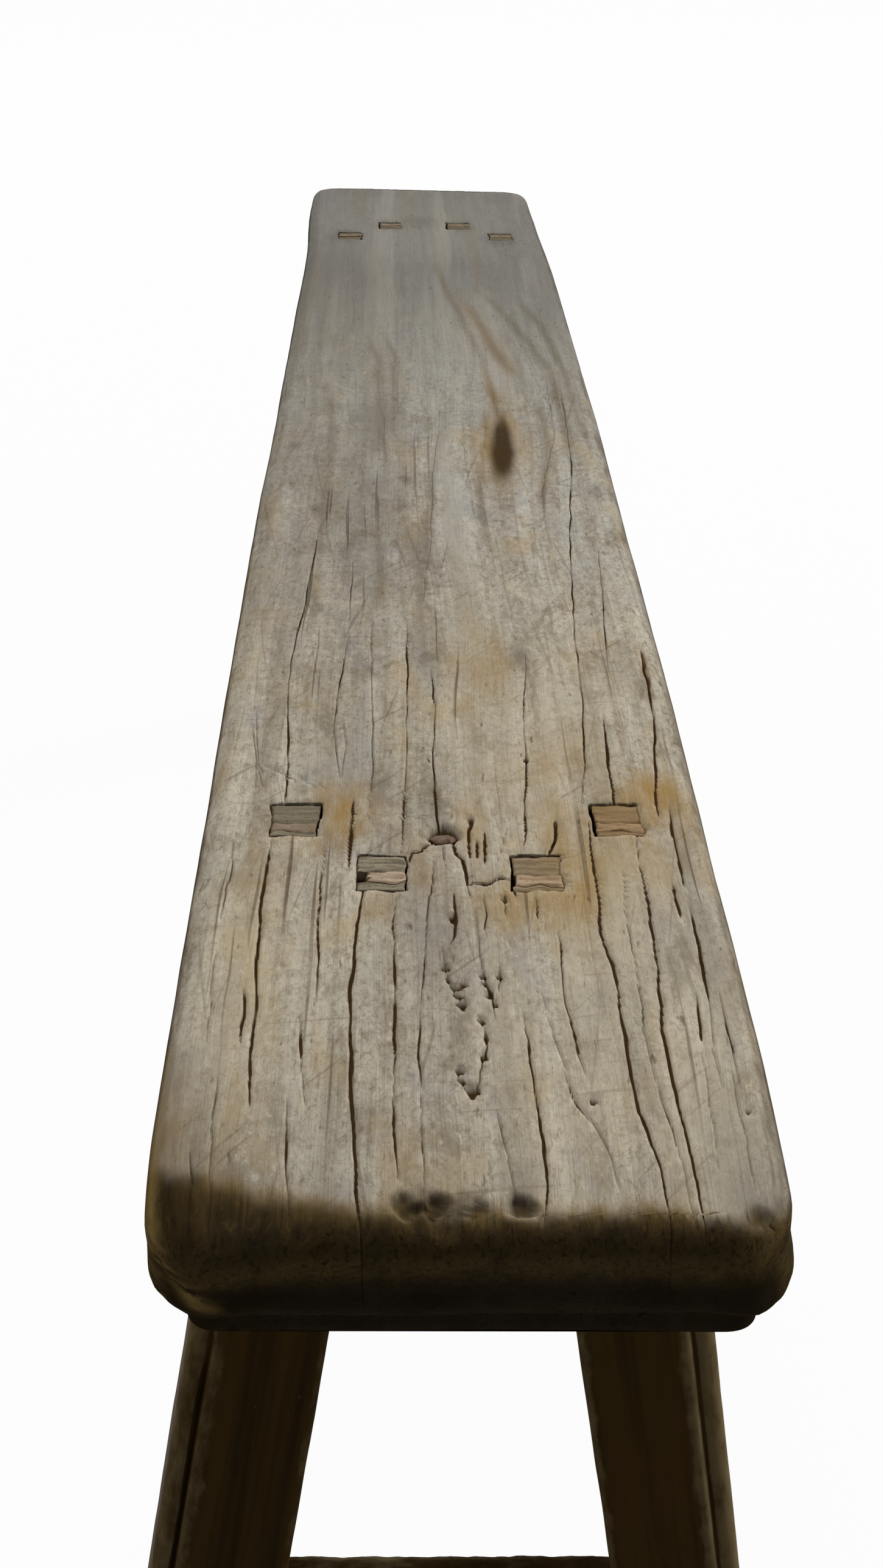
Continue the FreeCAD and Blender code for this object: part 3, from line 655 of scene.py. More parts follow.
# Stains: pixel, half-sizes along and across the bench in millimetres, and strength. Ochre first.
OCHRE = [
    ((565, 1335), 30, 16, 1.0), ((495, 1385), 16, 10, 0.6), ((1040, 1400), 46, 26, 0.6),
    ((1085, 1325), 30, 20, 1.0), ((949, 1420), 66, 17, 0.75), ((930, 1350), 36, 18, 0.7),
    ((865, 1487), 26, 22, 0.7), ((925, 1270), 46, 24, 0.45), ((773, 1350), 30, 8, 0.6),
    ((440, 1430), 45, 12, 0.35), ((690, 1420), 30, 10, 0.5), ((621, 1478), 16, 10, 0.5),
    ((780, 1105), 46, 24, 0.5), ((258, 1905), 10, 5, 0.8), ((275, 1868), 34, 9, 0.9),
    ((262, 1820), 40, 6, 0.6),
]
GREY = [
    ((1110, 1560), 36, 13, 0.7), ((715, 1560), 95, 12, 0.8), ((690, 1480), 60, 12, 0.7),
    ((850, 1078), 20, 7, 0.8), ((1010, 1088), 30, 10, 0.4), ((600, 800), 230, 34, 0.95),
    ((470, 900), 160, 18, 0.6), ((320, 1500), 110, 14, 0.4), ((560, 520), 220, 30, 0.6),
    # The first two marks below are painted shade along the right edge of the top, with some dirt.
    ((1180, 1600), 110, 8, 0.9), ((1150, 1470), 60, 7, 0.6), ((420, 1360), 50, 16, 0.65),
    ((690, 1060), 60, 12, 0.7), ((1010, 820), 60, 12, 0.4),
    ((470, 720), 210, 36, 0.85), ((440, 960), 90, 26, 0.6), ((290, 1880), 60, 14, 0.8),
    ((1240, 1900), 70, 16, 0.8), ((560, 1900), 50, 16, 0.5),
    ((540, 1230), 130, 36, 0.6), ((620, 1350), 60, 26, 0.6), ((480, 905), 60, 20, 0.6),
    ((690, 905), 70, 18, 0.6), ((630, 1660), 60, 18, 0.45), ((690, 1810), 60, 14, 0.5),
]
PALE = [
    ((752, 830), 170, 10, 0.9), ((800, 560), 160, 14, 0.5), ((1170, 1830), 120, 20, 0.7),
    ((1030, 1500), 60, 12, 0.8), ((380, 1620), 90, 18, 0.6), ((830, 1240), 110, 34, 0.5),
    ((930, 1880), 70, 20, 0.4), ((760, 1030), 60, 16, 0.5), ((930, 1150), 90, 24, 0.55),
    ((885, 1205), 60, 18, 0.5),
    ((840, 1690), 60, 14, 0.45), ((985, 1660), 70, 18, 0.5), ((1095, 1460), 40, 12, 0.6),
    ((700, 372), 150, 110, 0.24),
]
KNOT = (822, 722)
KNOT_HALF_LENGTH = 74
KNOT_HALF_WIDTH = 9.0
KNOT_STREAKS = [
    (6.0, [(740, 462), (782, 526), (809, 574), (840, 618)]),
    (3.4, [(786, 580), (800, 627), (813, 672), (822, 712)]),
]
# Soft dark lines of the grain where it flows round the knot: half-width in millimetres and pixels.
FLOW_LINES = [
    (3.0, [(764, 455), (817, 508), (865, 562), (900, 609), (915, 663), (930, 728), (939, 787)]),
    (2.6, [(829, 473), (883, 532), (924, 609), (948, 692), (972, 740), (995, 770)]),
    (2.6, [(710, 420), (728, 473), (758, 526), (788, 586), (802, 633)]),
    (2.4, [(734, 657), (722, 716), (710, 787), (704, 847), (698, 918), (692, 977)]),
    (2.8, [(598, 538), (615, 586), (621, 645), (618, 704), (615, 770)]),
    (2.2, [(627, 538), (645, 586), (645, 657), (639, 728)]),
    (2.4, [(538, 609), (541, 692), (535, 782), (529, 841), (520, 906)]),
    (2.2, [(871, 645), (888, 692), (897, 740), (894, 799), (883, 847)]),
    (2.0, [(793, 657), (796, 716), (788, 787), (793, 847), (799, 906)]),
    (2.2, [(621, 871), (627, 930), (621, 1001)]),
    (2.2, [(675, 871), (693, 942), (687, 1007)]),
]
# Small dark spots, given like the stains.
SPOTS = [
    ((518, 835), 14, 5, 0.4), ((666, 785), 9, 4, 0.4), ((482, 731), 10, 5, 0.35), ((1025, 888), 16, 4, 0.5),
    ((978, 805), 16, 5, 0.35), ((715, 1322), 30, 6, 0.32), ((690, 1964), 6, 6, 0.55),
    ((768, 1966), 6, 7, 0.55), ((735, 1974), 5, 6, 0.5),
    ((568, 387), 30, 16, 0.3), ((639, 369), 28, 15, 0.3),
    ((758, 372), 26, 14, 0.25), ((817, 393), 30, 16, 0.35), ((690, 364), 30, 22, 0.2),
    ((657, 832), 8, 4, 0.3), ((829, 832), 6, 4, 0.3), ((853, 1075), 10, 5, 0.35),
]
# Line on the near end where the pale top turns dark, from left to right: where dirt and painted shade of
# the rounded edge begin.
DARK_EDGE = [(254, 1916), (308, 1927), (376, 1950), (465, 1970), (581, 1989), (718, 1992), (786, 1993),
             (854, 1996), (991, 1993), (1127, 1991), (1240, 2010), (1291, 2008)]
# Hollows in the worn near edge: pixel, radius and depth in millimetres.
EDGE_HOLLOWS = [((862, 1976), 7, 2.2), ((695, 1988), 9, 1.4), ((795, 1986), 6, 1.0), ((742, 1998), 9, 1.2),
                ((666, 1974), 6, 1.2), ((712, 1976), 6, 1.0), ((1268, 1985), 6, 1.0)]


# Rows and columns of the grid on the seat's top, and strips of its underside.
SEAT_ROWS = 450
SEAT_COLUMNS = 160
SEAT_STRIPS = 6
# Heights of the grid on the flat of the seat's edge and on the band under it.
SEAT_EDGE_HEIGHTS = (482.0, 475.0)
SEAT_BAND_HEIGHTS = (454.5, 451.5)
# How far below the top the band and the underside count as dark old wood.
SEAT_DARK_BELOW = 38
# Cracks across the grain, where rows lie closer: pixel, spread in millimetres and weight.
CROSSWISE_CRACKS = [((800, 1447), 4, 4), ((700, 1390), 8, 2)]
SHORT_CHECK = 6
CHECK_LEAD = 40
NAIL_HOLLOW = (7.0, 5.6)
NAIL_HOLLOW_SHIFT = 0.8


def seat_half_width(x, inset):
    """Half the seat's width at x, on the outline that lies inset inside its edge."""
    end = SEAT_HALF_LENGTH - inset
    width = SEAT_HALF_WIDTH - inset + SEAT_BOW * (1 - (x / SEAT_HALF_LENGTH) ** 2)
    corner = max(SEAT_CORNER - inset, 1.0)
    past = np.clip(np.abs(x) - (end - corner), 0, corner)
    return width - corner + np.sqrt(np.maximum(corner ** 2 - past ** 2, 0))


def crowded(low, high, count, bumps, samples=2500):
    """Rising places from low to high that crowd round the bumps (place, spread, weight)."""
    t = np.linspace(low, high, samples)
    density = np.ones(samples)
    for place, spread, weight in bumps:
        density += weight * np.exp(-((t - place) / spread) ** 2)
    total = np.concatenate([[0], np.cumsum((density[1:] + density[:-1]) / 2)])
    return np.interp(np.linspace(0, total[-1], count + 1), total, t)


def traced(pixels):
    """Points of the seat's top along a line of pixels."""
    return np.array([on_seat(pixel) for pixel in pixels])


def near_line(x, y, line):
    """Distance to a line of points, and how far along it the nearest place is, from 0 to 1."""
    lengths = np.linalg.norm(np.diff(line, axis=0), axis=1)
    whole = lengths.sum()
    best = np.full(np.shape(x), 1e9)
    along = np.zeros(np.shape(x))
    done = 0.0
    for start, end, length in zip(line[:-1], line[1:], lengths):
        run = (end - start) / length
        t = np.clip((x - start[0]) * run[0] + (y - start[1]) * run[1], 0, length)
        gap = np.hypot(x - start[0] - t * run[0], y - start[1] - t * run[1])
        nearer = gap < best
        best = np.where(nearer, gap, best)
        along = np.where(nearer, (done + t) / whole, along)
        done += length
    return best, along


def tenon_place(inner):
    """Middle of a tenon at the seat's underside, for the near right leg."""
    if inner:
        return LEG_FACE - TENON_SHOULDER - TENON_LENGTH / 2, LEG_INNER + TENON_WIDTH / 2
    return (LEG_FACE - LEG_DEPTH + TENON_SHOULDER + TENON_LENGTH / 2,
            LEG_INNER + TENON_WIDTH * 1.5 + APRON_SLOT)


def tenon_boxes():
    """Centre of each leg tenon on the seat's top."""
    rise = SEAT_TOP - SEAT_UNDERSIDE
    centres = []
    for inner in (True, False):
        x, y = tenon_place(inner)
        x -= END_SLOPE * rise
        y -= SIDE_SLOPE * rise
        for end in (1, -1):
            for side in (1, -1):
                centres.append((x if end > 0 else 2 * LEG_MIDDLE - x, y * side))
    return centres


def wobble(x, y):
    """Unevenness of the tenons' outline at a place on the seat."""
    return 0.8 * noise(x / 9, y / 5, 83), 0.8 * noise(x / 5, y / 9, 84)


def right_taper(x):
    """How much the right side comes in towards the near end."""
    return 1.3 * smooth(330, 520, x) + 2.4 * smooth(600, 707, x)


def seat_grid(checks, tenons, end, inset):
    """X and Y of the top's points: rows crowd round the tenons and ends, columns round the checks."""
    knot_x, knot_y = on_seat(KNOT)
    bumps = [(end, 9, 6), (-end, 9, 6), (560, 170, 0.9)]
    bumps += [(on_seat(pixel)[0], spread, weight) for pixel, spread, weight in CROSSWISE_CRACKS]
    for x, y in tenons[::2]:
        bumps += [(x - TENON_LENGTH / 2, 2.2, 6), (x + TENON_LENGTH / 2, 2.2, 6)]
    xs = crowded(-end, end, SEAT_ROWS, bumps)
    across = np.zeros((SEAT_ROWS + 1, SEAT_COLUMNS + 1))
    for i, x in enumerate(xs):
        half = seat_half_width(x, inset)
        bumps = [(half, 3, 1.5), (-half, 3, 1.5)]
        for width, line in checks:
            order = np.argsort(line[:, 0])
            low, high = line[order[0], 0], line[order[-1], 0]
            if high - low < SHORT_CHECK:
                continue
            present = smooth(low - CHECK_LEAD, low, x) * smooth(high + CHECK_LEAD, high, x)
            if present > 0:
                bumps.append((np.interp(x, line[order, 0], line[order, 1]), 1.7, 5 * present))
        present = smooth(2.5, 1.2, abs(x - knot_x) / KNOT_HALF_LENGTH)
        if present > 0:
            bumps.append((knot_y - 3, 12, 2.5 * present))
        for cx, cy in tenons:
            present = smooth(TENON_LENGTH / 2 + 30, TENON_LENGTH / 2 + 4, abs(x - cx))
            if present > 0:
                bumps += [(cy + edge, 1.3, 5 * present) for edge in (-TENON_WIDTH / 2, TENON_WIDTH / 2)]
        across[i] = crowded(-half, half, SEAT_COLUMNS, bumps, 900)
    return np.repeat(xs[:, None], SEAT_COLUMNS + 1, 1), across


def seat_profile():
    """Inset from the outline and height, from the top's edge down to the underside."""
    top, under, band = SEAT_TOP_ROUND, SEAT_UNDER_ROUND, SEAT_BAND_INSET
    low = SEAT_BODY_LOW + under
    arc = np.linspace(0, math.pi / 2, 8)[1:]
    profile = [(top * (1 - math.sin(a)), SEAT_TOP - top * (1 - math.cos(a))) for a in arc]
    profile += [(0, height) for height in SEAT_EDGE_HEIGHTS]
    arc = np.linspace(0, math.pi / 2, 5)
    profile += [(under * (1 - math.cos(a)), low - under * math.sin(a)) for a in arc]
    profile += [(band - 0.3, SEAT_BODY_LOW + 0.2), (band, SEAT_BODY_LOW - 1.2)]
    profile += [(band, height) for height in SEAT_BAND_HEIGHTS]
    return profile + [(band + 0.6, SEAT_UNDERSIDE)]


def seat_shell(checks, tenons):
    """Points of the plain seat, their normals, how they face sideways, and the top's grid and ring."""
    inset = SEAT_TOP_ROUND
    end = SEAT_HALF_LENGTH - inset
    top_x, top_y = seat_grid(checks, tenons, end, inset)
    rows, columns = SEAT_ROWS, SEAT_COLUMNS

    # The ring of the top's edge runs counterclockwise from the near left corner.
    grid = np.arange(top_x.size).reshape(top_x.shape)
    ring = np.concatenate([grid[rows, :], grid[rows - 1::-1, columns],
                           grid[0, columns - 1::-1], grid[1:rows, 0]])
    ring_x, ring_y = top_x.ravel()[ring], top_y.ravel()[ring]
    corner = max(SEAT_CORNER - inset, 1.0)
    out_x = np.clip(np.abs(ring_x) - (end - corner), 0, corner) / corner * np.sign(ring_x)
    on_end = np.abs(ring_x) > end - 1e-6
    out_x = np.where(on_end, np.sign(ring_x), out_x)
    out_y = np.sqrt(np.maximum(1 - out_x ** 2, 0)) * np.sign(ring_y)

    points = [np.stack([top_x.ravel(), top_y.ravel(), np.full(top_x.size, SEAT_TOP)], 1)]
    normals = [np.tile([0.0, 0.0, 1.0], (top_x.size, 1))]
    sideways = [np.zeros((top_x.size, 2))]
    profile = seat_profile()
    before = (inset, SEAT_TOP)
    for n, (depth, height) in enumerate(profile):
        after = profile[n + 1] if n + 1 < len(profile) else (depth + 1, height)
        run = np.array([before[0] - after[0], after[1] - before[1]])
        run = run / np.linalg.norm(run)
        shift = inset - depth
        level = np.full(len(ring), height)
        points.append(np.stack([ring_x + out_x * shift, ring_y + out_y * shift, level], 1))
        normals.append(np.stack([out_x * -run[1], out_y * -run[1], np.full(len(ring), run[0])], 1))
        sideways.append(np.stack([out_x, out_y], 1))
        before = (depth, height)
    return np.concatenate(points), np.concatenate(normals), np.concatenate(sideways), grid, ring


def seat_lift(at):
    """Wear and weathering, as a height above the plain form."""
    x, y, z, below = at.x, at.y, at.z, at.below
    lift = 0.35 * rough(x / 150, at.grain_y / 26, 11) + 0.28 * rough(x / 45, at.grain_y / 4.2, 21, 3)
    lift -= np.where(at.is_top, 1.3 * np.exp(-(x / 420) ** 2) * (1 - (y / 105) ** 2), 0)
    lift -= smooth(8, 30, below) * (0.8 + 0.9 * rough(x / 60 + z / 40, z / 14 + y / 60, 31))
    lift -= at.end_part * smooth(2, 18, below) * 1.1 * (1 + rough(y / 9, z / 8, 41))
    return np.where(below > SEAT_DARK_BELOW, 0.25 * noise(x / 30, y / 30, 51), lift)


def seat_grooves(at, checks, tenons):
    """Darkness and depth of the checks, the holes and the pockets."""
    x, y, below = at.x, at.y, at.below
    crack = np.zeros(len(x))
    groove = np.zeros(len(x))

    def on_top(values, others):
        return np.where(at.is_top, np.maximum(values, others), values)

    # Checks have ragged sides, and run over the near edge and down the end.
    for width, line in checks:
        gap, along = near_line(at.ragged_x, at.ragged_y, line)
        taper = np.sqrt(np.clip(4 * along * (1 - along), 0, 1))
        swell = 1 + 0.35 * noise(x / 14, 0, int(line[0, 1] * 7) % 97)
        half = width / 2 * (0.28 + 0.46 * taper) * swell
        crack = np.maximum(crack, smooth(1.25, 0.55, gap / half) * smooth(0.25, 0.6, half + 0.1))
        hollow = np.clip(1 - (gap / (half * 1.1)) ** 2, 0, 1)
        groove = np.maximum(groove, hollow * (0.6 + width * taper))
        groove = np.maximum(groove, 0.1 * np.exp(-(gap / 2.2) ** 2) * min(width, 2))
    over_edge = smooth(694, 697, np.abs(x)) * smooth(16, 8, below)
    fade = np.where(at.is_top, 1.0, np.maximum(at.end_part, over_edge) * smooth(38, 20, below))
    crack *= fade
    groove *= fade
    for pixel, radius in HOLES:
        cx, cy = on_seat(pixel)
        gap = np.hypot(at.ragged_x - cx, at.ragged_y - cy) / radius
        crack = on_top(crack, smooth(1.2, 0.7, gap))
        groove = on_top(groove, 3.5 * smooth(1.15, 0.5, gap))

    # The hollow round the nail, and the mortises of the tenons.
    gap = np.hypot(at.ragged_x - NAIL_X + NAIL_HOLLOW_SHIFT, at.ragged_y - NAIL_Y)
    hollow = smooth(*NAIL_HOLLOW, gap)
    groove = on_top(groove, 3.4 * hollow)
    # The hollow round the nail takes the checks' dark colour: painted shade in the hollow.
    crack = on_top(crack, 0.85 * hollow)
    slack = 0.12 + 0.4 * noise(x / 4, y / 4, 81)
    uneven_x, uneven_y = wobble(x, y)
    for cx, cy in tenons:
        gap = np.maximum(np.abs(x - cx - uneven_x) - TENON_LENGTH / 2,
                         np.abs(y - cy - uneven_y) - TENON_WIDTH / 2) - slack
        groove = on_top(groove, 10 * smooth(0.5, -0.25, gap))
        crack = on_top(crack, smooth(0.7, 0.0, gap))
        groove = on_top(groove, 0.5 * smooth(4.5, 0, gap))
    return crack, groove


def bend_seat(points, at, sideways):
    """Move the points by the wear of the edges and the crookedness of the plank."""
    x, y, below = at.x, at.y, at.below
    # The near edge has hollows, and its left corner is worn down.
    slump = 7.5 * smooth(652, 706, x) * smooth(-40, -96, y) + 2.5 * smooth(672, 706, x)
    slump += 2.0 * smooth(-672, -706, x)
    slump *= smooth(34, 6, below)
    for pixel, radius, depth in EDGE_HOLLOWS:
        cx, cy = on_seat(pixel)
        gap = np.hypot((at.ragged_x - cx) * 1.1, at.ragged_y - cy) / radius + at.pitted
        slump += depth * smooth(0.9, 0.4, gap) * smooth(26, 8, below)
    points[:, 2] -= slump
    # Both sides leave the plain outline a little towards the near end.
    sided = y / SEAT_HALF_WIDTH
    upper = smooth(34, 14, below)
    points[:, 1] -= np.maximum(sided, 0) * upper * right_taper(x)
    points[:, 1] += 0.8 * (np.minimum(sided, 0) * upper) * smooth(480, 600, x) * smooth(700, 660, x)
    bulge = 1.3 * smooth(20, 30, below) * smooth(40.5, 38, below) * smooth(560, 690, x)
    bulge *= np.where(y > 0, 0.25, 1.0)
    at_corner = 4 * (sideways[:, 0] * sideways[:, 1]) ** 2
    bulge += smooth(39, 40, below) * at_corner * 2.0
    points[:, :2] += sideways * bulge[:, None]
    # The far end is sawn askew, and the plank bends to the left there.
    points[:, 0] += 7.0 * sided * smooth(-560, -707, x)
    points[:, 1] += 1.4 * smooth(-560, -400, x) * smooth(150, -50, x)
    points[:, 1] += (1.8 * sided - 2.6) * smooth(-470, -640, x)
    # The underside of the ends is hollowed, and the band hangs lower on the right.
    points[:, 2] -= 1.5 * smooth(40.5, 48, below) * smooth(20, 86, y)
    undercut = 3.6 * smooth(16, 36, below) * smooth(45, 40, below) * smooth(90, 68, np.abs(y))
    points[:, 2] += undercut * smooth(690, 700, np.abs(x) + 0.4 * below)
    near_right = (x > 0) * (y > 0)
    points[:, 2] -= 2.4 * at_corner * smooth(22, 32, below) * smooth(41.5, 38, below) * near_right


def seat_marks(at):
    """Stains, knot and dirt of each point, by the name that the material reads."""
    x, y, below, end_part = at.x, at.y, at.below, at.end_part
    stain, grey, pale, flow = np.zeros((4, len(x)))
    mottled = 0.35 * rough(x / 25, y / 9, 91)
    for target, marks in ((stain, OCHRE), (grey, GREY), (pale, PALE)):
        for pixel, length, width, strength in marks:
            cx, cy = on_seat(pixel)
            gap = np.hypot((x - cx) / length, (at.grain_y - cy) / width) + mottled
            np.maximum(target, strength * smooth(1.25, 0.25, gap), out=target)

    # The knot has a tail, a halo, and grain that flows round it.
    knot_x, knot_y = on_seat(KNOT)
    along_knot = (x - knot_x) / KNOT_HALF_LENGTH
    widest = KNOT_HALF_WIDTH * (0.45 + 0.55 * smooth(-1.0, 0.3, along_knot))
    across_knot = (y - knot_y + 2.5 * along_knot + 0.8 * noise(x / 20, y / 5, 93)) / widest
    reach = np.where(along_knot > 0, along_knot ** 2, along_knot)
    knot = smooth(1.2, 0.4, np.hypot(reach, across_knot)) * smooth(-1.3, -0.2, along_knot)
    for width, line in KNOT_STREAKS:
        gap, along = near_line(at.ragged_x, at.ragged_y, traced(line))
        swell = smooth(0, 0.5, along) * (0.5 + 0.5 * along) * smooth(1.05, 0.8, along)
        stain = np.maximum(stain, 0.8 * np.exp(-(gap / width) ** 2) * swell)
        knot = np.maximum(knot, 0.55 * np.exp(-(gap / width * 1.2) ** 2) * swell)
    for width, line in FLOW_LINES:
        gap, along = near_line(at.ragged_x, at.ragged_y, traced(line))
        ends = smooth(0, 0.2, along) * smooth(1, 0.8, along)
        flow = np.maximum(flow, np.exp(-(gap / (1.25 * width)) ** 2) * ends)
    for pixel, length, width, strength in SPOTS:
        cx, cy = on_seat(pixel)
        gap = np.hypot((x - cx) / length, (y - cy) / width) + 0.3 * rough(x / 9, y / 4, 92)
        knot = np.maximum(knot, strength * smooth(1.2, 0.2, gap))
    halo = np.exp(-(np.hypot(along_knot, across_knot / 2) / 1.1) ** 4)
    stain = np.maximum(stain, 0.6 * halo)

    # Dirt and painted shade cover the edges and both ends, with an ochre fringe where they start.
    dark = traced(DARK_EDGE)
    border = np.interp(y, dark[:, 1], dark[:, 0])
    past = x + 0.9 * below - border + 3.5 * rough(x / 14, y / 6, 95) + rough(x / 8, y / 4, 97)
    dirt_and_shade = smooth(1.4, 8, below) * (0.78 + 0.22 * end_part)
    # Painted shade with a little dirt along the rounded side edges of the top, stronger on the right.
    rim = smooth(0.0, 2.6, below + 1.2 * rough(x / 30, below, 99)) * (1 - end_part)
    rim *= np.where(y > 0, 0.52, 0.12 + 0.36 * smooth(200, 640, x)) * (0.7 + 0.3 * rough(x / 60, 0, 100))
    dirt_and_shade = np.maximum(dirt_and_shade, np.where(at.is_top, 0, rim))
    # Past the dark edge line the near end darkens in a soft step: dirt and painted shade where the rounded
    # edge turns from the light.
    dirt_and_shade = np.maximum(dirt_and_shade, 0.6 * smooth(-11, 1, past) + 0.4 * smooth(-5, 9, past))
    stain = np.maximum(stain, 0.55 * np.exp(-((past + 2) / 4.5) ** 2))
    low_end = end_part * (x > 0)
    for strength, inner, outer in ((0.9, -40, -92), (0.6, 40, 92)):
        stain = np.maximum(stain, strength * low_end * smooth(inner, outer, y) * smooth(8, 20, below))
    dirt_and_shade = np.maximum(dirt_and_shade, smooth(-686, -702, x - 0.9 * below + 2.0 * rough(x / 30, y / 14, 96)))
    # Dirt and painted shade darken the hollows of the worn near edge.
    for pixel, radius, depth in EDGE_HOLLOWS:
        cx, cy = on_seat(pixel)
        gap = np.hypot(at.ragged_x - cx, at.ragged_y - cy) / radius + at.pitted
        dirt_and_shade = np.maximum(dirt_and_shade, 0.72 * smooth(1.5, 0.1, gap))
    dirt_and_shade = np.where(below > SEAT_DARK_BELOW, OLD_DIRT, dirt_and_shade + 0.5 * low_end * smooth(9, 25, below))
    pale = np.maximum(pale, low_end * np.exp(-((below - 7) / 5) ** 2))

    # Ochre where the near left corner is rubbed, slanting down the end.
    slant = (y + 96 - 0.55 * (below - 6)) / 4
    corner = np.exp(-slant ** 2) * smooth(1, 5, below) * smooth(38, 28, below) * smooth(660, 690, x)
    return {"stain": stain, "grey": grey, "pale": pale, "knot": knot * at.is_top,
            "flow": flow * at.is_top, "dirt_and_shade": dirt_and_shade, "corner": corner}


def seat_faces(points, grid, ring):
    """Faces of the top, the edge and the underside, and the points added inside the underside."""
    rows, columns, strips = SEAT_ROWS, SEAT_COLUMNS, SEAT_STRIPS
    a, b = grid[:-1, :-1].ravel(), grid[1:, :-1].ravel()
    c, d = grid[1:, 1:].ravel(), grid[:-1, 1:].ravel()
    faces = np.stack([a, b, c, d], 1).tolist()
    upper = ring
    for start in range(grid.size, len(points), len(ring)):
        lower = start + np.arange(len(ring))
        faces.extend(np.stack([upper, lower, np.roll(lower, -1), np.roll(upper, -1)], 1).tolist())
        upper = lower

    # The underside is a few long strips, with the two end rows gathered in.
    near = upper[:columns + 1]
    right = upper[columns + 1:columns + rows]
    far = upper[columns + rows:2 * columns + rows + 1][::-1]
    left = upper[2 * columns + rows + 1:]
    inner_rows = []
    extra = []
    for i in range(1, rows):
        start, stop = points[left[i - 1]], points[right[rows - 1 - i]]
        row = [int(left[i - 1])]
        for k in range(1, strips):
            row.append(len(points) + len(extra))
            extra.append(start + (stop - start) * k / strips)
        row.append(int(right[rows - 1 - i]))
        inner_rows.append(row)
    for first, second in zip(inner_rows[:-1], inner_rows[1:]):
        for k in range(strips):
            faces.append([first[k], first[k + 1], second[k + 1], second[k]])
    for fine, coarse, flip in ((near, inner_rows[-1], False), (far, inner_rows[0], True)):
        fine = [int(v) for v in fine]
        step = (len(fine) - 1) / strips
        for k in range(strips):
            start, stop = round(k * step), round((k + 1) * step)
            middle = (start + stop) // 2
            fan = []
            for n in range(start, stop):
                fan.append([fine[n + 1], fine[n], coarse[k] if n < middle else coarse[k + 1]])
            fan.append([coarse[k], coarse[k + 1], fine[middle]])
            faces.extend([face if flip else face[::-1] for face in fan])
    return faces, np.array(extra)


def build_seat():
    """The plank with its wear, cracks, holes and stains."""
    checks = []
    for width, line in CHECKS:
        line = traced(line)
        line[:, 1] += np.maximum(line[:, 1], 0) / SEAT_HALF_WIDTH * right_taper(line[:, 0])
        checks.append((width, line))
    tenons = tenon_boxes()
    points, normals, sideways, grid, ring = seat_shell(checks, tenons)
    x, y, z = points.T.copy()

    # Grain runs along the bench and swerves round the knot.
    knot_x, knot_y = on_seat(KNOT)
    swerve = np.exp(-((x - knot_x) / 150) ** 2) * np.exp(-np.abs(y - knot_y) / 45)
    grain_y = y - 13 * swerve * np.tanh((y - knot_y) / 21) + 2.6 * noise(x / 150, y / 60, 5)
    grain_y += noise(x / 62, y / 26, 6) + 0.4 * noise(x / 24, y / 10, 7)

    at = SimpleNamespace(x=x, y=y, z=z, grain_y=grain_y, below=SEAT_TOP - z)
    at.is_top = np.arange(len(points)) < grid.size
    at.end_part = smooth(0.35, 0.8, np.abs(normals[:, 0]))
    at.ragged_x = x + 1.6 * noise(x / 9, y / 5, 61)
    at.ragged_y = y + 0.5 * noise(x / 13, y / 9, 71) + 0.15 * noise(x / 7, y / 5, 72)
    at.pitted = 0.4 * rough(x / 5, y / 4, 98)
    crack, groove = seat_grooves(at, checks, tenons)
    points += normals * (seat_lift(at) - groove)[:, None]
    bend_seat(points, at, sideways)
    faces, extra = seat_faces(points, grid, ring)

    grain = np.concatenate([np.stack([x, grain_y, z], 1), extra]) * MM
    attributes = {"grain": grain, "along": grain[:, 0]}
    for label, values in {"crack": crack, "swirl": swerve, **seat_marks(at)}.items():
        fill = OLD_DIRT if label == "dirt_and_shade" else 0
        attributes[label] = np.concatenate([values, np.full(len(extra), fill)])
    seat = make_object("seat", np.concatenate([points, extra]), faces, [SEAT_WOOD], attributes)
    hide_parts("seat_plank")


# Direction of each end along X and of each side along Y.
SIGNS = {"near": 1, "far": -1, "right": 1, "left": -1}
# Rounding of a leg's plain corners, and the spacing of the points along its flat faces.
LEG_EASE = 2.0
LEG_STEP = 4.5
LEG_GROOVE = LEG_FLAT + LEG_GROOVE_WIDTH / 3
# Heights between which the crack of the near left leg opens.
LEG_CRACK = (286, 258)
# The block that cuts a stretcher's mortise lies between these distances from the bench's middle.
MORTISE_FAR = 220
MORTISE_NEAR = 20
# How far a stretcher's body goes into the legs, and how far its tenon stays inside their outer faces.
STRETCHER_LAP = 0.6
STRETCHER_SHORT = 0.8
# Tone of its tenon, dirtier than the tenons of the legs.
STRETCHER_TONE = 1.6
# Rounding of an apron's lower edge, and the points up its faces as parts of their height.
APRON_EASE = 2.2
APRON_STEPS = (0.3, 0.6, 0.85, 1.0)
# The nail: radius of the head, radius and height of the shank's ends, and how deep the head sits.
NAIL_RADIUS = 5.0
NAIL_SHANK = ((2.5, -1.2), (0.7, -40.0))
NAIL_SUNK = 2.6
# The stage, in metres and watts. Each soft box has a name, place, target, size and power.
FLOOR_REACH = 9.0
FLOOR_WHITENESS = 0.95
WORLD_LIGHT = 0.05
SOFT_BOXES = [
    ("far_overhead", (-6.2, -1.0, 9.0), (0.0, 0.0, 0.5), (6.0, 6.0), 765),
    ("right_side", (-2.6, 7.0, 3.6), (0.0, 0.0, 0.4), (4.0, 3.0), 560),
    ("left_side", (-2.6, -7.0, 3.6), (0.0, 0.0, 0.4), (4.0, 3.0), 205),
]


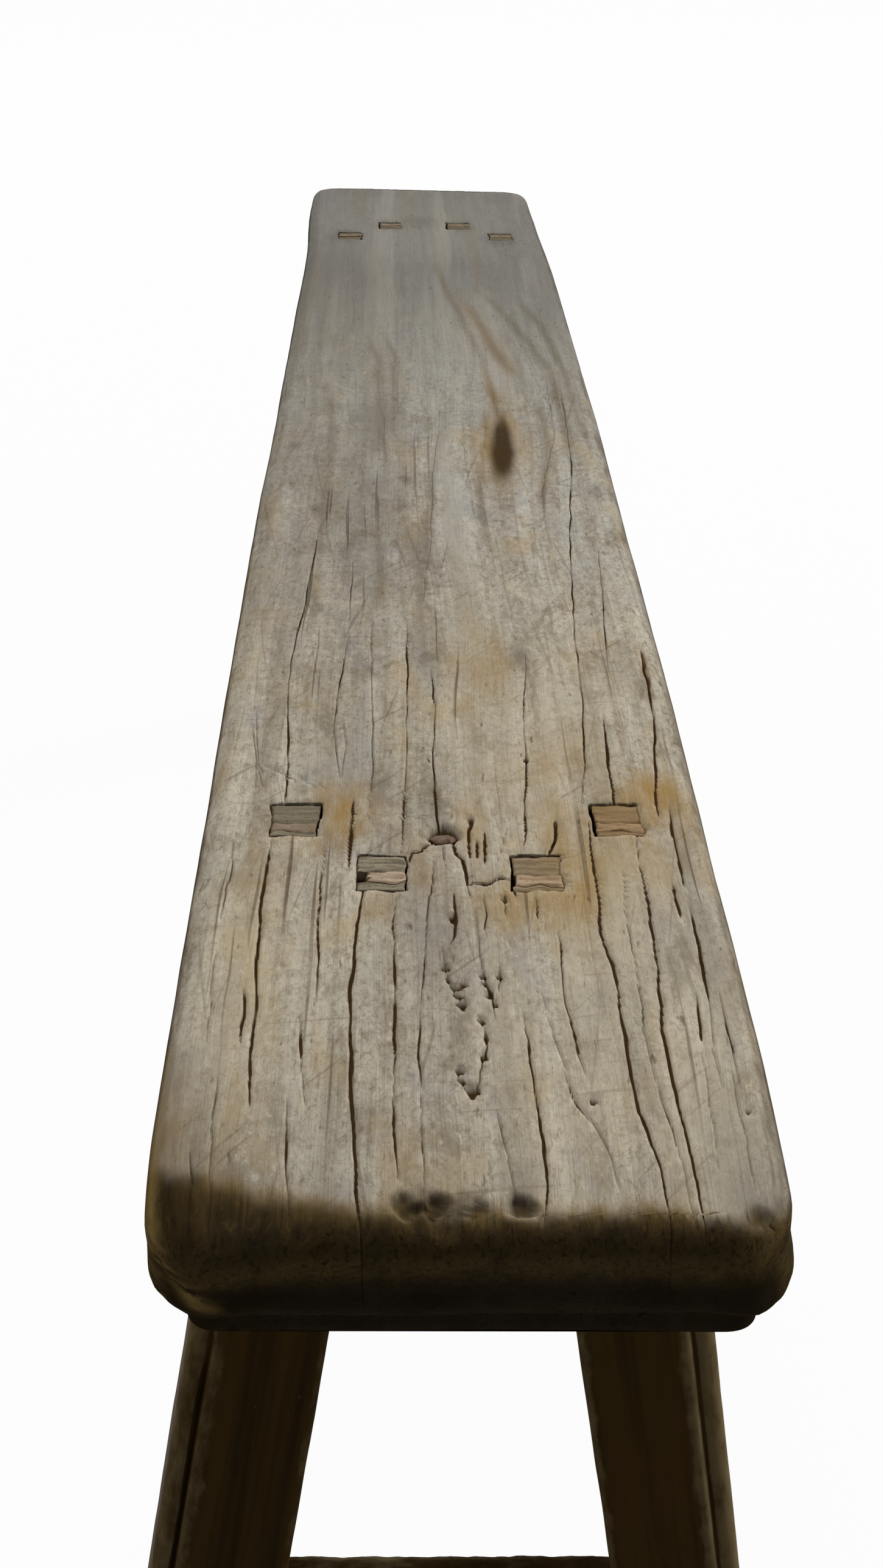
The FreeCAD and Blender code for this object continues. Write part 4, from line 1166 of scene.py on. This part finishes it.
def leg_outline():
    """Section of a leg: distance from its inner face, from its end face, and wear, point by point."""
    corners = []

    def arc(centre, radius, start, stop, steps, wear):
        for a in np.radians(np.linspace(start, stop, steps)):
            corners.append((centre[0] + radius * math.sin(a), centre[1] - radius * math.cos(a), wear))

    bead_y = LEG_FLAT + LEG_GROOVE_WIDTH
    arc((LEG_EASE, LEG_EASE), LEG_EASE, -90, 0, 4, 0.5)
    for y in np.arange(7, LEG_FLAT - LEG_ARRIS - LEG_EASE, LEG_STEP):
        corners.append((y, 0.0, 0.0))
    arc((LEG_FLAT - LEG_ARRIS, LEG_ARRIS), LEG_ARRIS, 0, 90, 6, 0.55)
    corners.append((LEG_GROOVE, LEG_GROOVE_DEPTH, 0.0))
    arc((bead_y, LEG_BEAD_SETBACK + LEG_BEAD), LEG_BEAD, 0, 90, 8, 0.6)
    for b in np.arange(17, LEG_DEPTH / 2, LEG_STEP):
        corners.append((LEG_WIDTH, b, 0.28))
    for y, b, wear in corners[::-1]:
        corners.append((y, LEG_DEPTH - b, wear))
    for b in np.arange(LEG_DEPTH - 7, 5, -LEG_STEP):
        corners.append((0.0, b, 0.0))
    return np.array(corners)


def leaning(x, y, z, end, side):
    """Place on a leg, from its X and Y at the seat's underside for the near right one."""
    x = x + END_SLOPE * (SEAT_UNDERSIDE - z)
    y = y + SIDE_SLOPE * (SEAT_UNDERSIDE - z)
    return np.stack([x if end > 0 else 2 * LEG_MIDDLE - x, y * side, z], -1)


def turned(faces, end, side):
    """Faces of a mirrored copy, kept facing outwards."""
    return faces if end * side > 0 else [face[::-1] for face in faces]


def tube_faces(levels, count, flip=False):
    """Quads between rings of points, one ring after another."""
    faces = []
    for level in range(levels - 1):
        low = level * count + np.arange(count)
        high = low + count
        ring = [low, np.roll(low, -1), np.roll(high, -1), high]
        if flip:
            ring = [low, high, np.roll(high, -1), np.roll(low, -1)]
        faces.extend(np.stack(ring, 1).tolist())
    return faces


def cut(piece, tool):
    """Take the tool's shape out of a piece."""
    change = piece.modifiers.new("mortise", "BOOLEAN")
    change.operation = "DIFFERENCE"
    change.solver = "EXACT"
    change.object = tool
    shape = piece.evaluated_get(bpy.context.evaluated_depsgraph_get())
    mesh = bpy.data.meshes.new_from_object(shape)
    piece.modifiers.clear()
    old = piece.data
    piece.data = mesh
    bpy.data.meshes.remove(old)
    bpy.data.objects.remove(tool)


def leg_body(end, side, seed):
    """Points, faces, grain and wear of a leg below the seat."""
    outline = leg_outline()
    count = len(outline)
    heights = crowded(0, SEAT_UNDERSIDE, 96, [(0, 10, 3)])
    rows = len(heights)
    place = np.concatenate([[0], np.cumsum(np.linalg.norm(np.diff(outline[:, :2], axis=0), axis=1))])

    centre = np.array([LEG_WIDTH / 2, LEG_DEPTH / 2])
    flat = np.tile(outline[:, 0], rows), np.tile(outline[:, 1], rows)
    wear = np.tile(outline[:, 2], rows)
    around = np.tile(place, rows)
    z = np.repeat(heights, count)
    inward = np.stack([centre[0] - flat[0], centre[1] - flat[1]], 1)
    inward /= np.linalg.norm(inward, axis=1, keepdims=True)
    depth = 0.3 * rough(z / 70, around / 12, seed)
    depth = depth + wear * 0.6 * (0.3 + rough(z / 28, around / 30, seed + 7))
    depth += 1.2 * smooth(14, 0, z) * (0.5 + 0.5 * noise(around / 9, 0, seed + 3)) * (wear > 0.3)
    y = flat[0] + inward[:, 0] * depth
    b = flat[1] + inward[:, 1] * depth
    # A drying crack opens the groove of the near left leg, which spreads below it.
    groove = np.isclose(flat[0], LEG_GROOVE)
    inwards = np.where(flat[1] < LEG_DEPTH / 2, 1.0, -1.0)
    if end > 0 and side < 0:
        opened = -2.0 + 2.7 * smooth(*LEG_CRACK, z) * (1 + 0.5 * noise(z / 22, 0.0, seed + 9))
        b = b + np.where(groove, inwards * opened, 0)
        beside = np.isclose(flat[0], LEG_FLAT + LEG_GROOVE_WIDTH) & (flat[1] < LEG_DEPTH / 2)
        y = y + np.where(beside, 0.4 * smooth(*LEG_CRACK, z) * (1 + noise(z / 30, 0.0, seed + 10)), 0)
        y = y + 2.6 * np.clip((290 - z) / 145, 0, 1.4) * smooth(LEG_WIDTH * 0.5, LEG_WIDTH * 0.8, flat[0])
    else:
        closed = 2.0 + 0.8 * noise(z / 25, 0.0, seed + 9)
        b = b - np.where(groove, inwards * closed, 0)
    points = leaning(LEG_FACE - b, LEG_INNER + y, z, end, side)
    faces = tube_faces(rows, count)
    faces.append(list(range(count))[::-1])
    faces.append(list(range((rows - 1) * count, rows * count)))
    grain = np.stack([z + seed * 11, around, flat[1]], 1)
    # The near right leg's wear is raised: paler edges and bead, partly real wear and partly a painted
    # highlight of the light from the right.
    return points, turned(faces, end, side), grain, wear * (1.3 if end > 0 and side > 0 else 1.0)


def stretcher_mortise(end, side):
    """Block that cuts the stretcher's mortise out of a leg."""
    low = STRETCHER_TOP - STRETCHER_HEIGHT + STRETCHER_SHOULDER - FIT_GAP
    high = STRETCHER_TOP - STRETCHER_SHOULDER + FIT_GAP
    front = LEG_FACE - STRETCHER_SETBACK - STRETCHER_SHOULDER + FIT_GAP
    back = LEG_FACE - STRETCHER_SETBACK - STRETCHER_THICKNESS + STRETCHER_SHOULDER - FIT_GAP
    places, quads = box_lattice(1, 1, 1)
    height = np.where(places[:, 2] > 0, high, low)
    depth = np.where(places[:, 0] > 0, front, back)
    points = leaning(depth, LEG_INNER + LEG_WIDTH / 2, height, end, side)
    points[:, 1] = side * np.where(places[:, 1] * side > 0, MORTISE_FAR, MORTISE_NEAR)
    mesh = bpy.data.meshes.new("mortise_tool")
    mesh.from_pydata((points * MM).tolist(), [], turned(quads, end, 1))
    block = bpy.data.objects.new("mortise_tool", mesh)
    bpy.context.scene.collection.objects.link(block)
    return block


def build_leg(end_name, side_name):
    """One leg with its two tenons and their wedges."""
    end, side = SIGNS[end_name], SIGNS[side_name]
    corner = end_name + "_" + side_name
    seed = 100 + 40 * (end + 1) + 15 * (side + 1)
    leg = Mesh()
    leg.add(*leg_body(end, side, seed))
    piece = leg.finish("leg_" + corner, [LEG_WOOD, TENON_WOOD], 40)
    cut(piece, stretcher_mortise(end, side))
    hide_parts("leg_" + corner)

    # Tenons, each split by its wedge.
    tenons = Mesh()
    for inner in (True, False):
        name = corner + ("_inner" if inner else "_outer")
        x0, y0 = tenon_place(inner)
        code = seed + (3 if inner else 5)
        offset = WEDGE_OFFSETS.get(name, WEDGE_OFFSET)
        soiled = TENON_DIRT.get(name, 0.0 if end > 0 else 2.0)
        for half in (1, -1):
            tone = 0.5 + 0.5 * lattice(code, half + 5, 11) + soiled
            tenons.add(*wedged_block(x0, y0, half, code, end, side, offset, 0.0), tone=tone)
        wedge = Mesh()
        dull = 0.0 if inner else 1.0
        lost = WEDGE_LOST.get(name, 0.0)
        wedge.add(*wedged_block(x0, y0, 0, code, end, side, offset, lost), tone=dull + soiled)
        piece = wedge.finish("wedge_" + name, [WEDGE_WOOD], 45)
        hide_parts("wedge_" + name)
    piece = tenons.finish("tenons_" + corner, [TENON_WOOD], 45)
    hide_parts("leg_" + corner)


def wedged_block(x0, y0, half, code, end, side, offset, lost):
    """One half of a tenon beside its wedge (half 1 or -1), or the wedge itself (half 0)."""
    places, faces = box_lattice(14 if half else 10, 26, 12)
    u, v, w = places.T
    chance = lattice(code, half + 3, 7)
    top = TENON_END + 0.4 - (0.4 + 0.35 * chance if half else 0.2)
    low = SEAT_UNDERSIDE if half else TENON_END - WEDGE_DEPTH
    z = low + (w + 1) / 2 * (top - low)
    down = np.clip((TENON_END - z) / WEDGE_DEPTH, 0, 1)
    split = (WEDGE_TOP * (1 - down) + WEDGE_TIP * down) / 2
    split = split * (1 + 0.3 * noise(v * 1.7, 0.0, code + 2))
    middle = offset + (1 - down) * 0.7 * noise(v * 1.3, 0.5, code + 4)
    if half:
        split = np.where(z < TENON_END - WEDGE_DEPTH, 0.15, split)
        inner_x = middle + half * (split + WEDGE_GAP)
        x = inner_x + (u * half + 1) / 2 * (half * TENON_LENGTH / 2 - inner_x)
    else:
        x = middle + u * (split - WEDGE_GAP)
    y = v * (TENON_WIDTH / 2 - (0 if half else 0.15))
    rim = np.maximum(smooth(0.8, 1.0, np.abs(u)), smooth(0.9, 1.0, np.abs(v)))
    upper = smooth(0.7, 1.0, w)
    ragged = 0.5 + 0.5 * rough(x / 3 + code, y / 3, code, 3)
    z = z - upper * (0.35 * (1 + rough(x / 2.2, y / 7, code + 1)) + rim * ragged * 0.7)
    from_left = (1 + side * v) / 2
    z = z - upper * 4.0 * smooth(lost, lost - 0.08, from_left + 0.05 * noise(x, 0.0, code + 6))
    shrink = upper * rim * ragged * 0.3
    y = y * (1 - shrink / 12)
    x = x - u * shrink * 0.4
    points = leaning(x0 + x, y0 + y, z, end, side)
    uneven_x, uneven_y = wobble(points[:, 0], points[:, 1])
    points[:, 0] += upper * uneven_x
    points[:, 1] += upper * uneven_y
    wear = 0.6 * smooth(0.75, 1.0, rim * ragged) * upper
    wear = np.maximum(wear, smooth(lost, lost - 0.08, from_left))
    wear = np.where(w < 0.8, 1.0, wear)
    grain = np.stack([x + code * 37, y, z], 1)
    return points, turned(faces, end, side), grain, wear


def build_stretcher(end_name):
    """End stretcher, with a tenon through both legs."""
    end = SIGNS[end_name]
    seed = 300 + end * 20
    middle_x = LEG_FACE - STRETCHER_SETBACK - STRETCHER_THICKNESS / 2
    middle_z = STRETCHER_TOP - STRETCHER_HEIGHT / 2

    def bar(places, local, face, past):
        """Points of a bar that ends a little past a face of the legs on both sides."""
        z = middle_z + local[:, 2]
        points = leaning(middle_x + local[:, 0], 0, z, end, 1)
        points[:, 1] = places[:, 1] * (face + SIDE_SLOPE * (SEAT_UNDERSIDE - z) + past)
        return points

    body = Mesh()
    places, faces = box_lattice(8, 90, 10)
    halves = np.array([STRETCHER_THICKNESS / 2, 1.0, STRETCHER_HEIGHT / 2])
    local = eased(places * [1, 0, 1], halves, 1.6)
    around = np.arctan2(local[:, 2], local[:, 0]) * 16
    dent = 0.3 * rough(places[:, 1] * 9, around / 12, seed)
    edge = (np.abs(places[:, 0]) > 0.9) & (np.abs(places[:, 2]) > 0.9)
    dent += edge * 0.4 * (0.6 + rough(places[:, 1] * 16, 0.0, seed + 5))
    size = np.maximum(np.hypot(local[:, 0], local[:, 2]), 1)
    for axis in (0, 2):
        local[:, axis] -= local[:, axis] / size * dent
    points = bar(places, local, LEG_INNER, STRETCHER_LAP)
    points[:, 2] -= end * 0.8 * places[:, 1]
    grain = np.stack([points[:, 1] + seed * 9, local[:, 0], local[:, 2]], 1)
    rubbed = np.where(edge, 0.8, np.where(places[:, 2] > 0.9, 0.45, 0.05))
    body.add(points, turned(faces, end, 1), grain, rubbed)

    # The tenon passes through both legs and ends just inside their outer faces.
    places, faces = box_lattice(6, 60, 8)
    thick = STRETCHER_THICKNESS / 2 - STRETCHER_SHOULDER
    tall = STRETCHER_HEIGHT / 2 - STRETCHER_SHOULDER
    local = eased(places * [1, 0, 1], np.array([thick, 1.0, tall]), 0.6)
    points = bar(places, local, LEG_INNER + LEG_WIDTH, -STRETCHER_SHORT)
    grain = np.stack([local[:, 0] + seed, local[:, 2], points[:, 1]], 1)
    body.add(points, turned(faces, end, 1), grain, 0.0, slot=1, tone=STRETCHER_TONE)
    piece = body.finish("stretcher_" + end_name, [RAIL_WOOD, TENON_WOOD], 45)
    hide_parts("stretcher_" + end_name)


def apron_low_edge(reach):
    """Places along half an apron from its middle, and the height of the lower edge there."""
    opening = LEG_FACE - LEG_DEPTH - LEG_MIDDLE - SPANDREL_REACH + SPANDREL_DROP
    low = SEAT_UNDERSIDE - APRON_DEPTH - SPANDREL_DROP
    high = SEAT_UNDERSIDE - APRON_DEPTH
    curve = opening - SPANDREL_DROP
    places = [(x, high) for x in np.linspace(0, curve, 50)[:-1]]
    for a in np.linspace(0, math.pi / 2, 12):
        places.append((curve + SPANDREL_DROP * math.sin(a), low + SPANDREL_DROP * math.cos(a)))
    places += [(x, low) for x in np.linspace(opening, reach - APRON_END_ROUND, 18)[1:-1]]
    for a in np.linspace(0, math.pi / 2, 10):
        rise = APRON_END_ROUND * (1 - math.cos(a))
        places.append((reach - APRON_END_ROUND * (1 - math.sin(a)), low + rise))
    return places


def build_apron(side_name):
    """Side apron, as rows of section points from one end to the other."""
    side = SIGNS[side_name]
    seed = 500 + side * 30
    reach = LEG_FACE - LEG_MIDDLE + APRON_OVERRUN
    half = apron_low_edge(reach)
    stations = [(-x, z) for x, z in reversed(half[1:])] + half
    thick = (APRON_SLOT - 2 * FIT_GAP) / 2
    inner = LEG_INNER + TENON_WIDTH + APRON_SLOT / 2
    ease = APRON_EASE
    loop = []
    for cx, start in ((1, 0), (-1, 90)):
        for a in np.radians(np.linspace(start, start + 90, 4)):
            loop.append((cx * (thick - ease) + ease * math.cos(a), -ease * math.sin(a) + ease, 1.0))
    count = len(loop) + 2 * len(APRON_STEPS)
    points, wear, grain = [], [], []
    for x, low in stations:
        row = [(y, low + lift, worn) for y, lift, worn in loop]
        for face, steps in ((-thick, APRON_STEPS), (thick, APRON_STEPS[::-1])):
            for t in steps:
                row.append((face, low + ease + (SEAT_UNDERSIDE - low - ease) * t, 0.0))
        for k, (y, z, worn) in enumerate(row):
            dent = 0.25 * (1 + rough(x / 60, k / 2.0, seed))
            dent = dent + worn * 0.5 * (0.5 + rough(x / 22, 0.0, seed + 2))
            y = y - math.copysign(dent, y)
            across = side * (inner + y + SIDE_SLOPE * (SEAT_UNDERSIDE - z))
            points.append((LEG_MIDDLE + x, across, z + worn * dent * 0.5))
            wear.append(0.55 * worn)
            grain.append((x + seed * 13, y, z))
    total = len(stations)
    faces = tube_faces(total, count, True)
    faces.append(list(range(count)))
    faces.append(list(range((total - 1) * count, total * count))[::-1])
    apron = Mesh()
    apron.add(points, turned(faces, 1, -side), np.array(grain, float), np.array(wear, float))
    piece = apron.finish("apron_" + side_name, [APRON_WOOD], 40)
    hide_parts("apron_" + side_name)


def build_nail():
    """Hammered head, tipped a little, on a tapering shank."""
    rings, spokes = 9, 32
    levels = rings + len(NAIL_SHANK)
    turns = [2 * math.pi * k / spokes for k in range(spokes)]
    points = []
    for r in range(rings):
        t = r / (rings - 1)
        for a in turns:
            uneven = 1 + 0.09 * float(noise(2.2 * math.cos(a) + 5, 2.2 * math.sin(a) + 5, 17))
            radius = NAIL_RADIUS * uneven * math.sin(min(t * 1.35, 1) * math.pi / 2)
            height = 1.9 * math.cos(min(t * 1.2, 1) * math.pi / 2) - 1.6 * max(t - 0.74, 0)
            height += 0.25 * float(noise(radius * math.cos(a) / 1.8, radius * math.sin(a) / 1.8, 23))
            points.append((radius * math.cos(a) * 0.78, radius * math.sin(a), height))
    for radius, height in NAIL_SHANK:
        points += [(radius * math.cos(a), radius * math.sin(a), height) for a in turns]
    faces = tube_faces(levels, spokes, True)
    faces.append(list(range((levels - 1) * spokes, levels * spokes))[::-1])
    points = np.array(points)
    points[:, 2] += 0.06 * points[:, 0] * (points[:, 2] > -3)
    facet = smooth(2.4, 1.0, np.hypot(points[:, 0] - 0.2, 0.75 * points[:, 1] + 0.5))
    points += [NAIL_X, NAIL_Y, SEAT_TOP - NAIL_SUNK]
    piece = make_object("nail", points, faces, [IRON], {"facet": facet})
    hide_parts("seat_nail")


def seen_directly(tree):
    """1 for rays that show the background to the camera, in gloss or through glass."""
    path = tree.nodes.new("ShaderNodeLightPath").outputs
    seen = path["Is Camera Ray"]
    for kind in ("Is Glossy Ray", "Is Transmission Ray"):
        either = tree.nodes.new("ShaderNodeMath")
        either.operation = "MAXIMUM"
        tree.links.new(seen, either.inputs[0])
        tree.links.new(path[kind], either.inputs[1])
        seen = either.outputs[0]
    return seen


def build_floor():
    """Pale floor that keeps the bench's shadow and otherwise reads as white."""
    floor_mesh = bpy.data.meshes.new("floor")
    corners = [(-1, -1, 0), (1, -1, 0), (1, 1, 0), (-1, 1, 0)]
    floor_mesh.from_pydata((FLOOR_REACH * np.array(corners)).tolist(), [], [(0, 1, 2, 3)])
    floor = bpy.data.objects.new("floor", floor_mesh)
    bpy.context.scene.collection.objects.link(floor)
    s = Shader("pale_floor")
    s.surface.inputs["Base Color"].default_value = srgb(208, 208, 205)
    s.surface.inputs["Roughness"].default_value = 0.9
    white = s.node("ShaderNodeEmission")
    white.inputs["Strength"].default_value = 1.0
    blend = s.node("ShaderNodeMixShader")
    s.feed(blend.inputs[0], s.math("MULTIPLY", seen_directly(s.tree), FLOOR_WHITENESS))
    s.tree.links.new(s.surface.outputs[0], blend.inputs[1])
    s.tree.links.new(white.outputs[0], blend.inputs[2])
    s.tree.links.new(blend.outputs[0], s.tree.nodes["Material Output"].inputs["Surface"])
    floor_mesh.materials.append(s.material)


def build_light():
    """A white world that lights the bench only faintly, and the soft boxes."""
    world = bpy.data.worlds.new("studio")
    world.use_nodes = True
    tree = world.node_tree
    sky = tree.nodes["Background"]
    sky.inputs["Color"].default_value = (1.0, 1.0, 1.0, 1.0)
    level = tree.nodes.new("ShaderNodeMapRange")
    level.inputs["To Min"].default_value = WORLD_LIGHT
    level.inputs["To Max"].default_value = 1.0
    tree.links.new(seen_directly(tree), level.inputs["Value"])
    tree.links.new(level.outputs["Result"], sky.inputs["Strength"])
    bpy.context.scene.world = world
    for name, place, target, size, power in SOFT_BOXES:
        lamp = bpy.data.lights.new(name, "AREA")
        lamp.shape = "RECTANGLE"
        lamp.size, lamp.size_y = size
        lamp.energy = power
        holder = bpy.data.objects.new(name, lamp)
        holder.location = place
        aim = Vector(target) - Vector(place)
        holder.rotation_euler = aim.to_track_quat("-Z", "Y").to_euler()
        bpy.context.scene.collection.objects.link(holder)


def build_camera():
    """The photograph's camera."""
    right, down, forward = camera_axes()
    camera = bpy.data.cameras.new("camera")
    camera.sensor_width = 36.0
    camera.lens = FOCAL_PIXELS / PHOTO_HEIGHT * camera.sensor_width
    camera.clip_start = 0.01
    holder = bpy.data.objects.new("camera", camera)
    turn = Matrix((right, -down, -forward)).transposed().to_4x4()
    holder.matrix_world = Matrix.Translation(Vector(CAMERA_PLACE * MM)) @ turn
    bpy.context.scene.collection.objects.link(holder)
    bpy.context.scene.camera = holder
    bpy.context.scene.view_settings.view_transform = "Standard"


build_seat()
for end_name in ("near", "far"):
    for side_name in ("right", "left"):
        build_leg(end_name, side_name)
    build_stretcher(end_name)
for side_name in ("right", "left"):
    build_apron(side_name)
build_nail()
for label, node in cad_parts.items():
    if label.startswith("stretcher_wedge"):
        node.data.materials.clear()
        node.data.materials.append(SMALL_WEDGE_WOOD)
build_floor()
build_light()
build_camera()
